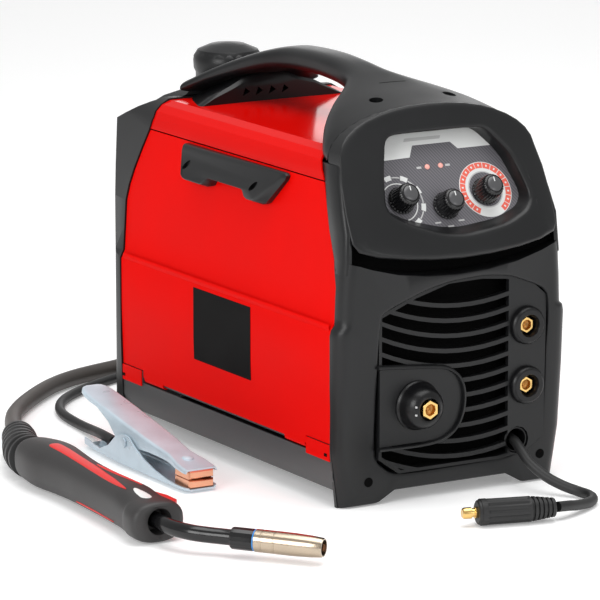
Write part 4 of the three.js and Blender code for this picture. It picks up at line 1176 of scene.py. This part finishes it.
# ---------- front fittings ----------
def build_front_fittings():
    # painted shade: a near-black sheet behind the grille stands for the shaded inside of the case
    shade_behind_grille = prism("grille_shade_sheet", RECESS, "y", -192.6, -191.6, painted_shade_black, edge=0)
    pocket = [
        (-81, 126.5), (-62, 125), (-30, 122), (-12, 119.5), (-2, 115), (5, 108), (9, 98), (9.5, 86),
        (7, 74), (2, 64.5), (-6, 57.5), (-18, 53), (-40, 51.5), (-80, 52),
    ]
    line = catmull([Vector((x, FRONT + 0.2, z)) for x, z in pocket], 5)
    rings = []
    for i, point in enumerate(line):
        ahead = (line[min(i + 1, len(line) - 1)] - line[max(i - 1, 0)]).normalized()
        side = Vector((-ahead.z, 0, ahead.x))
        section = [(-1.4, 3), (-1.4, -1.2), (-0.8, -2.0), (0.6, -2.0), (1.4, -1.2), (2.2, 3)]
        rings.append([tuple(point + side * a + Vector((0, b, 0))) for a, b in section])
    rim = loft("torch_pocket_rim", rings, charcoal, sharp=50)
    start = (-39, FRONT, 88)
    profile = [
        (-20, 20.6),
        (-4, 20.6),
        (-3.2, 22.5),
        (-0.5, 22.5),
        (0.6, 21.2),
        (3, 20.4),
        (8, 19.8),
        (13, 18.2),
        (16.6, 15.8),
        (18.8, 13),
        (19.4, 11.4),
        (19.0, 10.2),
        (10, 10),
    ]
    boss = turned("torch_boss", start, (0, -1, 0), profile, soft_black, 64)
    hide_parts("torch_socket")
    for i, angle in enumerate((165, 195)):
        turn = math.radians(angle)
        x, z = start[0] + 14 * math.cos(turn), start[2] + 14 * math.sin(turn)
        key = turned(
            "torch_boss_key_%d" % i, (x, FRONT - 17.6, z), (0, -1, 0), [(0, 1.1), (1.2, 0.9)],
            light_print, 12,
        )
    for label, z in (("upper", 148), ("lower", 93)):
        place = (77, FRONT + 3, z)
        profile = [
            (-6, 13), (0, 17.6), (3.2, 17.4), (5.4, 16.2), (6.6, 14.4), (6.6, 10.4), (5, 9.4),
            (-10, 8.8),
        ]
        rim = turned("socket_rim_" + label, place, (0, -1, 0), profile, soft_black, 56)
        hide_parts("socket_" + label)
    for label, x, y, z, radius in (
        ("upper", 77, FRONT + 6.5, 148, 4.55),
        ("lower", 77, FRONT + 6.5, 93, 4.55),
        ("torch", -39, FRONT - 15.5, 88, 5.15),
    ):
        profile = [
            (-1, radius), (0, radius), (-0.5, radius * 0.8), (-1.1, radius * 0.45), (0.2, radius * 0.3),
            (0.3, 0.3),
        ]
        floor = turned("bore_floor_" + label, (x, y, z), (0, -1, 0), profile, bore_brass, 32)
    profile = [(-10, 11.6), (-0.6, 11.8), (0.4, 11.2), (0.2, 10.2), (-3, 9.4), (-10, 9.2)]
    grommet = turned("lead_grommet", (68, FRONT + 5, 43), (0, -1, 0), profile, soft_black, 40)


# ---------- door fittings ----------
HINGE_SLOTS = [(-187, 47.6, -119.3), (187, 47.6, -119.3)]
GRIP_WELLS = [(64, 269.5), (-60, 269)]


def build_door_fittings():
    # a plain dark field on the door
    rows = [(89, 118.95), (100, 119.25), (110, 119.52), (157, 119.52)]
    points = []
    for lift in (0.05, 0.45):
        for z, half in rows:
            points += [(-half - lift, 50, z), (-half - lift, -55, z)]
    count = len(rows)
    faces = []
    for base in (0, 2 * count):
        for i in range(count - 1):
            a = base + 2 * i
            faces.append((a, a + 1, a + 3, a + 2))
    for i in range(count - 1):
        a, b = 2 * i, 2 * (i + count)
        faces.append((a, a + 2, b + 2, b))
        faces.append((a + 1, b + 1, b + 3, a + 3))
    faces.append((0, 2 * count, 2 * count + 1, 1))
    faces.append((2 * count - 2, 2 * count - 1, 4 * count - 1, 4 * count - 2))
    field = piece("door_dark_field", points, faces, black_print, "door", sharp=30)

    # grip: a bar on two feet whose face leans out from its top edge, with a slanted front end
    base = [
        (80, 286.5),
        (83, 284.5),
        (83, 281),
        (71, 257),
        (67, 254.5),
        (62, 254),
        (30, 254),
        (25, 255.5),
        (21, 261),
        (17, 262.5),
        (-39, 262.5),
        (-43, 261),
        (-47, 255.5),
        (-51, 254),
        (-72, 254),
        (-77, 256),
        (-104, 281),
        (-105.5, 284.5),
        (-102, 286.5),
    ]
    face = [
        (78, 284.5),
        (80, 283),
        (80, 280),
        (68, 261),
        (65, 258.5),
        (60, 257.5),
        (32, 257.5),
        (28, 259),
        (23, 263.5),
        (19, 264.5),
        (-41, 264.5),
        (-45, 263.5),
        (-49, 259),
        (-53, 257.5),
        (-62, 257.5),
        (-66, 259.5),
        (-95, 281),
        (-97, 283.5),
        (-94, 284.5),
    ]

    def lean(z):
        return -112.4 - 10.6 * smoothstep(clamp01((288 - z) / 30))

    rings = [[(-106, y, z) for y, z in base], [(lean(z) * 0.45 - 110 * 0.55, y, z) for y, z in base]]
    for share in (0.25, 0.6, 0.85, 1.0):
        ring = []
        for (a, b), (c, d) in zip(base, face):
            y, z = a + (c - a) * share, b + (d - b) * share
            depth = math.sin(share * math.pi / 2) ** 0.6
            ring.append((-111 + (lean(z) + 111) * depth, y, z))
        rings.append(ring)
    grip = loft("door_grip_moulding", rings, charcoal, "door", sharp=35)
    wells = [oval_cutter((-115.5, y, z), (0, -5.2, 4.2), (0, 2.0, 1.9), (-12, 0, 0)) for y, z in GRIP_WELLS]
    fingers = box_cutter((-114.2, -40, 240), (-90, 19, 272))
    carve(grip, fingers, *wells, sharp=35)
    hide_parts("door_grip")

    # a pressed line along the door
    section = [(160.6, -119.2), (163.4, -120.0), (164.6, -120.0), (166.4, -119.2)]
    rings = [[(x, y, z) for z, x in section] for y in (-193, 186)]
    loft("door_pressed_line", rings, red_paint, "door", sharp=50)
    # red corners below the door's ends, and near-black tabs of painted shade for the slots of its hinge
    for label, low, high in (("front", -193.5, -152.6), ("rear", 152.6, 190)):
        edge = [(low, 42.4), (high, 42.4), (high, 57.4), (low, 57.4)]
        corner = prism("door_corner_" + label, edge, "x", -119.3, -118.3, red_paint, edge=0.25)
    for i, (y, z, face) in enumerate(HINGE_SLOTS):
        tab = prism(
            "hinge_slot_shade_%d" % i, box_outline(y, z, 2.2, 1.4), "x", face - 0.4, face + 0.8, painted_shade_black,
            edge=0,
        )


# ---------- torch ----------
# y, centre x, half width, half height
TORCH_ROWS = [
    (34.5, -298.5, 15, 15),
    (30, -298.4, 18.6, 18.2),
    (22, -298, 21, 19.8),
    (2, -297, 24.4, 21.3),
    (-14, -296.6, 24.6, 21.3),
    (-32, -297.2, 22.2, 20.8),
    (-60, -299.2, 19.6, 19.8),
    (-90, -301.4, 18.4, 19.3),
    (-130, -303.4, 18.6, 19.3),
    (-160, -304.4, 19.8, 19.8),
    (-184, -305.2, 20.8, 19.8),
    (-194, -305.4, 22.0, 19.2),
    (-200, -305.6, 24.6, 18.6),
    (-208, -305.8, 25.6, 18.4),
    (-216, -306, 25.4, 18.2),
    (-220.5, -306, 23.4, 17.2),
    (-222.6, -306, 18.5, 14.8),
]
NECK = [
    (-306, -200, 20),
    (-307, -228, 20),
    (-304.5, -246, 19),
    (-297, -262, 18),
    (-287, -272.5, 17),
    (-277.7, -282, 16.5),
    (-272, -289, 16.3),
]
NOZZLE_AIM = Vector((0.63, -0.776, -0.015)).normalized()
BOOT_LINE = [(-299, 33.5, 21), (-294.5, 56, 20), (-284, 82, 19), (-272, 108, 18), (-263.5, 129, 17)]


def torch_middle(y):
    """The height of the handle's middle: it drops at the front end."""
    return 22 - 3.2 * smoothstep((-172 - y) / 28)


def torch_point(y, degrees, lift):
    rows = sorted(TORCH_ROWS, key=lambda row: row[0])
    centre, half_width, half_height = interpolate(rows, y)
    angle = math.radians(degrees)
    c, s = math.cos(angle), math.sin(angle)
    x = (half_width + lift) * math.copysign(abs(c) ** 0.8, c)
    z = (half_height + lift) * math.copysign(abs(s) ** 0.8, s)
    return (centre + x, y, torch_middle(y) + z)


def torch_inlay(name, rows, look, lift=0.55):
    """A strip let into the torch handle: rows are (y, middle angle, half angle)."""
    fine = catmull([Vector(row) for row in rows], 4)
    rings = []
    for y, middle, half in fine:
        half = max(half, 0.6)
        steps = [-1, -0.96, -0.8, -0.4, 0, 0.4, 0.8, 0.96, 1]
        heights = [-0.5, 0.25, 1, 1, 1, 1, 1, 0.25, -0.5]
        top = [torch_point(y, middle + half * a, lift * h) for a, h in zip(steps, heights)]
        low = [torch_point(y, middle + half * a, -2.0) for a in (0.8, 0, -0.8)]
        rings.append(top + low)
    made = loft(name, rings, look, sharp=70)
    return made


def sweep(name, line, radii, look, sides=28, body="machine", sharp=None, power=2.0):
    """A tube of changing radius along a line."""
    rings = []
    for i, point in enumerate(line):
        ahead = line[min(i + 1, len(line) - 1)] - line[max(i - 1, 0)]
        side, up, _ = frame_along(ahead)
        ring = []
        for a, b in superellipse(radii[i], radii[i], power, sides):
            ring.append(tuple(point + side * a + up * b))
        rings.append(ring)
    return loft(name, rings, look, body, sharp=sharp)


def build_torch():
    rows = catmull([Vector(row) for row in TORCH_ROWS], 3)
    rings = []
    for y, centre, half_width, half_height in rows:
        rings.append(
            [
                (centre + a, y, torch_middle(y) + b)
                for a, b in superellipse(half_width, half_height, 2.5, 56)
            ]
        )
    for y, reach in ((-221.6, 11.8), (-217, 10.8), (-206, 10.4)):
        rings.append([(-306 + a, y, 19.6 + b) for a, b in superellipse(reach, reach, 2, 56)])
    handle = loft("torch_grip_moulding", rings, grip_rubber, sharp=70)
    carve(handle, box_cutter((-292, -208, 12), (-270, -158, 32.5)), sharp=50)
    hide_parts("torch_handle")

    band = [
        (-12, 96, 1),
        (-14, 96, 8),
        (-22, 96, 10.5),
        (-50, 96, 11),
        (-80, 98, 11.5),
        (-110, 102, 12),
        (-140, 108, 10.5),
        (-158, 112, 7.5),
        (-172, 114, 4),
        (-178, 114, 1),
    ]
    torch_inlay("torch_inlay_top", band, red_rubber)
    fork = [(-92, 82, 1), (-100, 81, 4), (-120, 78, 6.5), (-145, 76, 5.5), (-168, 76, 3), (-176, 76, 1)]
    torch_inlay("torch_inlay_side", fork, red_rubber)
    low = [(-90, 214, 1), (-98, 214, 2.5), (-130, 214, 3), (-158, 214, 2.5), (-168, 214, 1)]
    torch_inlay("torch_inlay_low", low, red_rubber)
    badge = [(-182, 97, 1), (-184, 97, 5), (-190, 96, 8), (-197, 94, 8.5), (-203, 93, 6), (-206, 92, 1)]
    torch_inlay("torch_badge", badge, white_print, 0.5)

    line = catmull(BOOT_LINE, 18)
    radii = []
    for i in range(len(line)):
        share = i / (len(line) - 1)
        base = 15.3 - 4.0 * share
        phase = (share * 7.0) % 1.0
        rib = 4.6 - 0.8 * share if 0.1 < phase < 0.62 and share < 0.97 else 0.0
        radii.append(base + rib)
    boot = sweep("torch_boot_ribs", line, radii, rubber, 40, sharp=40)
    bevel(boot, 0.5, 2, 40)
    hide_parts("torch_boot")

    neck_line = catmull(NECK, 8)
    neck = sweep("torch_neck_tube", neck_line, [7.0] * len(neck_line), gloss_black, 32)
    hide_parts("torch_neck")
    start = neck_line[-1]
    profile = [(-1, 8), (-0.6, 9.2), (0.4, 9.7), (18.6, 9.7), (19.8, 9.3), (20, 7)]
    collar = turned("neck_collar", start, NOZZLE_AIM, profile, gloss_black, 16, sharp=20)
    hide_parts("neck_insulator")
    ring = turned(
        "nozzle_blue_ring", start, NOZZLE_AIM, [(19.9, 7), (19.9, 9.5), (20.9, 9.5), (20.9, 7)],
        blue_ring, 48,
    )
    profile = [
        (20.9, 6.8),
        (20.9, 9.3),
        (21.4, 9.9),
        (26.6, 9.9),
        (27.0, 9.45),
        (28.0, 9.45),
        (28.4, 9.9),
        (38.4, 9.9),
        (38.8, 9.5),
        (39.6, 9.5),
        (40.0, 9.95),
        (56, 9.9),
        (70, 9.4),
        (80.6, 8.5),
        (82, 7.9),
        (82, 6.9),
        (74, 6.6),
        (66, 6.6),
    ]
    nozzle = turned("nozzle_tube", start, NOZZLE_AIM, profile, nickel, 56)
    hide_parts("gas_nozzle")


# ---------- earth clamp ----------
CLAMP_X = -188.0
PIVOT = (26.0, 25.0)


def upper_top(y):
    return 21.8 + (y + 86) * 36 / 210


def channel(name, rows, direction, body):
    """A pressed channel: rows are (y, half width, height of its web, depth of its sides)."""
    thick = 1.5
    rings = []
    for y, half, web, depth in rows:
        corner = min(2.6, depth * 0.8)
        outer = [(half, depth), (half, corner)]
        outer += [
            (half - corner + corner * math.cos(a), corner - corner * math.sin(a))
            for a in (0.4, 0.8, 1.2)
        ]
        outer += [(half - corner, 0)]
        inner = [
            (half - corner, thick), (half - thick - 0.4, thick + 0.6), (half - thick, corner),
            (half - thick, depth),
        ]
        points = outer + [(-x, d) for x, d in reversed(outer)]
        points += [(-x, d) for x, d in reversed(inner)] + inner
        rings.append([(CLAMP_X + x, y, web + direction * d) for x, d in points])
    made = loft(name, rings, zinc, body, sharp=32)
    return made


def build_clamp():
    deep = [
        (123.5, 7.0, 1.8),
        (122, 10.8, 2.6),
        (118, 13.6, 3.8),
        (110, 15.2, 4.6),
        (98, 15.8, 5.0),
        (84, 16, 4.4),
        (62, 16, 10),
        (44, 15.9, 22),
        (34, 15.8, 26),
        (24, 15.6, 24),
        (14, 15.4, 20),
        (2, 15.2, 14),
        (-14, 14.8, 10.5),
        (-30, 13.6, 8.6),
        (-44, 12.8, 7.2),
        (-56, 14.4, 6.2),
        (-66, 16.2, 5.2),
        (-80, 16.6, 4.2),
        (-84.5, 16.2, 3.6),
    ]
    upper = channel(
        "clamp_upper_pressing", [(y, half, upper_top(y), depth) for y, half, depth in deep], -1,
        "clamp_jaw",
    )
    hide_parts("clamp_upper_arm")
    shallow = [
        (119, 9.6, 5.0),
        (117, 11.6, 8.0),
        (104, 13.4, 7.5),
        (92, 14.4, 5.5),
        (80, 15.4, 5.5),
        (60, 17.2, 13.0),
        (44, 18.2, 25.0),
        (34, 18.3, 28.6),
        (26, 18.3, 29.6),
        (18, 18.3, 28.6),
        (6, 18.3, 21.0),
        (-10, 18.2, 14.0),
        (-30, 18, 8.4),
        (-52, 17.8, 4.8),
        (-68, 17.6, 3.4),
        (-82, 16.6, 3.2),
        (-86, 14.6, 3.0),
    ]
    lower = channel(
        "clamp_lower_pressing", [(y, half, 2.4, depth) for y, half, depth in shallow], 1, "machine",
    )
    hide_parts("clamp_lower_arm")

    def small(name, start, aim, profile, look, body, slot="zinc", sides=28):
        made = turned(name, start, aim, profile, look, sides, body)
        return made

    tilt = Vector((0, -36 / 210, 1)).normalized()
    head = [(-0.4, 5.2), (0.2, 5.4), (1.2, 4.6), (1.9, 2.6), (2.1, 1.0)]
    small("clamp_rivet_upper", (CLAMP_X, -60, upper_top(-60)), tilt, head, zinc, "clamp_jaw")
    foot = [(0, 3.4), (0.4, 3.6), (1.6, 3.4), (2.3, 3.0)]
    for i, dx in enumerate((-8, 8)):
        small("clamp_rivet_foot_%d" % i, (CLAMP_X + dx, -70, 0.1), (0, 0, 1), foot, zinc, "machine")
    small("clamp_lug_foot", (CLAMP_X, 108, 0.1), (0, 0, 1), [(0, 4), (2.3, 4)], zinc, "machine")
    screw = [(0, 5.8), (1.4, 5.8), (1.6, 4.4), (4.6, 4.4), (5.4, 3.4)]
    small("clamp_lug_screw", (CLAMP_X, 99, 4.0), (0, 0, 1), screw, zinc, "machine", sides=6)
    pin = [
        (-20.4, 3.2), (-20.2, 4.4), (-19, 4.4), (-18.8, 3), (18.8, 3), (19, 4.4), (20.2, 4.4),
        (20.4, 3.2),
    ]
    pivot = small("clamp_pivot_pin", (CLAMP_X, *PIVOT), (1, 0, 0), pin, zinc, "machine")
    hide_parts("clamp_pivot")

    # a torsion spring round the pivot, with its two legs
    turns, radius, wire = 7, 6.6, 1.0
    line = [Vector((CLAMP_X - 10, PIVOT[0] - 34, 8.6)), Vector((CLAMP_X - 10, PIVOT[0] - 20, 11.4))]
    for i in range(turns * 16 + 1):
        angle = -0.5 * math.pi + 2 * math.pi * i / 16
        x = CLAMP_X - 10 + 20 * i / (turns * 16)
        line.append(Vector((x, PIVOT[0] + radius * math.cos(angle), PIVOT[1] + radius * math.sin(angle))))
    line.append(Vector((CLAMP_X + 10, PIVOT[0] - 20, 27.4)))
    line.append(Vector((CLAMP_X + 10, PIVOT[0] - 34, 26.4)))
    spring = sweep("clamp_spring_coil", line, [wire] * len(line), steel, 10)
    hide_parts("clamp_spring")

    # jaws: folded copper strips with pressed ridges
    for label, body, low, high, bulge in (
        ("lower", "machine", 4.3, 12.2, 1),
        ("upper", "clamp_jaw", 12.6, 20.6, -1),
    ):
        rings = []
        stations = [-85.6 + 1.3 * i for i in range(22)]
        for i, y in enumerate(stations):
            ridge = 0.55 if i % 2 else 0.0
            ends = 1.2 if i in (0, len(stations) - 1) else 0.0
            near, far = (high, low) if bulge > 0 else (low, high)
            biting = near - bulge * ridge
            half = 12.8 - ends - ridge * 0.6
            ring = []
            for k in range(25):
                x = -half + 2 * half * k / 24
                wave = 0.35 * math.cos(math.pi * k)
                ring.append((CLAMP_X + x, y, biting - bulge * (0.35 - wave) - bulge * ends))
            ring.append((CLAMP_X + half, y, far + bulge * ends))
            ring.append((CLAMP_X - half, y, far + bulge * ends))
            rings.append(ring)
        jaw = loft("clamp_copper_" + label, rings, copper, body, sharp=35)
        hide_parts("clamp_jaw_" + label)
    strip = [Vector((CLAMP_X, y, z)) for y, z in ((-58, 9), (-50, 12), (-44, 17), (-48, 21.5), (-56, 22.4))]
    braid = sweep("clamp_copper_braid", catmull(strip, 6), [3.2] * 25, copper, 16)


# ---------- wire spool ----------
SPOOL_Y, SPOOL_Z = 80, 178


def build_spool():
    """Two pierced flanges, and the wire wound in close turns between them."""
    for label, x, way in (("outer", -70, 1), ("inner", -18, -1)):
        profile = [(3, 26.6), (0.4, 26.6), (0, 27.4), (0, 35), (0.8, 36), (0.8, 87), (0, 88), (0, 94)]
        profile += [(0.5, 94.8), (2.6, 94.8), (3, 94.2), (3, 26.6)]
        flange = turned(
            "spool_flange_" + label, (x, SPOOL_Y, SPOOL_Z), (way, 0, 0), profile, soft_black, 72,
            "spool", caps=False
        )
        holes = []
        for i in range(6):
            angle = math.radians(30 + 60 * i)
            out = Vector((0, math.cos(angle), math.sin(angle)))
            along = Vector((0, -math.sin(angle), math.cos(angle)))
            middle = Vector((x - 2 * way, SPOOL_Y, SPOOL_Z)) + out * 58
            holes.append(oval_cutter(middle, out * 13, along * 17, (8 * way, 0, 0), 32))
        carve(flange, *holes)
    profile = [(0, 27), (0, 76.6)]
    for i in range(38):
        profile += [(0.1 + 1.2 * i, 77.2), (0.7 + 1.2 * i, 77.9)]
    profile += [(45.8, 76.6), (45.8, 27), (0, 27)]
    wire = turned(
        "spool_wire", (-66.9, SPOOL_Y, SPOOL_Z), (1, 0, 0), profile, copper, 64, "spool", caps=False,
    )
    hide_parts("wire_spool")


# ---------- carried-over pieces ----------
def dress_nodes():
    """Every piece from the frame gets its slot's finish, rounded edges and smooth curves."""
    slots = {row["node"]: row["material_slot"] for row in frame["record"]["subparts"]}
    for name, obj in nodes.items():
        mesh = obj.data
        mesh.materials.clear()
        mesh.materials.append(LOOK_OF_NODE.get(name, LOOK_OF_SLOT[slots[name]]))
        if "custom_normal" in mesh.attributes:
            mesh.attributes.remove(mesh.attributes["custom_normal"])
        mesh.polygons.foreach_set("use_smooth", [True] * len(mesh.polygons))
        mesh.edges.foreach_set("use_edge_sharp", [False] * len(mesh.edges))
        weld = obj.modifiers.new("weld", "WELD")
        weld.merge_threshold = 1e-5
        bevel(obj, EDGE_OF_NODE.get(name, 0.6), 2, FOLD_OF_NODE.get(name, 33))


LOOK_OF_NODE = {"roof_cover": red_gloss, "hinge_pin": grey_paint}
EDGE_OF_NODE = {
    "side_door": 0.3, "roof_cover": 1.1, "rear_shell": 2.6, "base_tray": 0.5, "contact_tip": 0.2,
}
FOLD_OF_NODE = {"roof_cover": 18}

dress_nodes()
build_hood()
build_front_shell()
build_gap_shade_sheet()
build_side_strips()
build_handle()
build_saddle()
build_knobs()
build_panel_prints()
build_front_fittings()
build_door_fittings()
build_torch()
build_clamp()
build_spool()


# ---------- room and light ----------
def add_floor():
    size = 20.0
    mesh = bpy.data.meshes.new("floor")
    mesh.from_pydata(
        [(-size, -size, 0), (size, -size, 0), (size, size, 0), (-size, size, 0)], [], [(0, 1, 2, 3)]
    )
    floor = bpy.data.objects.new("floor", mesh)
    bpy.context.scene.collection.objects.link(floor)
    pale = finish("pale_floor", (0.90, 0.90, 0.90), 0.6, variation=0.004, cloud_scale=0.8, specular=0.2)
    shader = pale.node_tree.nodes["Principled BSDF"]
    shader.inputs["Emission Color"].default_value = (1, 1, 1, 1)
    shader.inputs["Emission Strength"].default_value = 0.22
    mesh.materials.append(pale)


def add_light(name, place, target, size, watts, tint=(1, 1, 1)):
    data = bpy.data.lights.new(name, "AREA")
    data.shape = "RECTANGLE"
    data.size, data.size_y = size
    data.energy = watts
    data.color = tint
    obj = bpy.data.objects.new(name, data)
    aim = Vector(target) - Vector(place)
    obj.matrix_world = Matrix.Translation(place) @ aim.to_track_quat("-Z", "Y").to_matrix().to_4x4()
    obj.visible_camera = False
    bpy.context.scene.collection.objects.link(obj)


def add_lights():
    world = bpy.data.worlds.new("studio")
    world.use_nodes = True
    world.node_tree.nodes["Background"].inputs["Color"].default_value = (1, 1, 1, 1)
    world.node_tree.nodes["Background"].inputs["Strength"].default_value = 0.55
    bpy.context.scene.world = world
    middle = (0.08, 0.0, 0.2)
    add_light("overhead", (0.2, -0.2, 2.6), middle, (2.2, 2.2), 50)
    add_light("left_window", (-2.6, -1.2, 1.3), middle, (1.5, 1.5), 42)
    add_light("front_window", (0.6, -3.0, 0.9), middle, (1.2, 1.0), 10)
    add_light("back_card", (2.9, 4.6, 1.1), middle, (1.8, 1.2), 9)
    bpy.context.scene.view_settings.view_transform = "Standard"


add_floor()
add_lights()
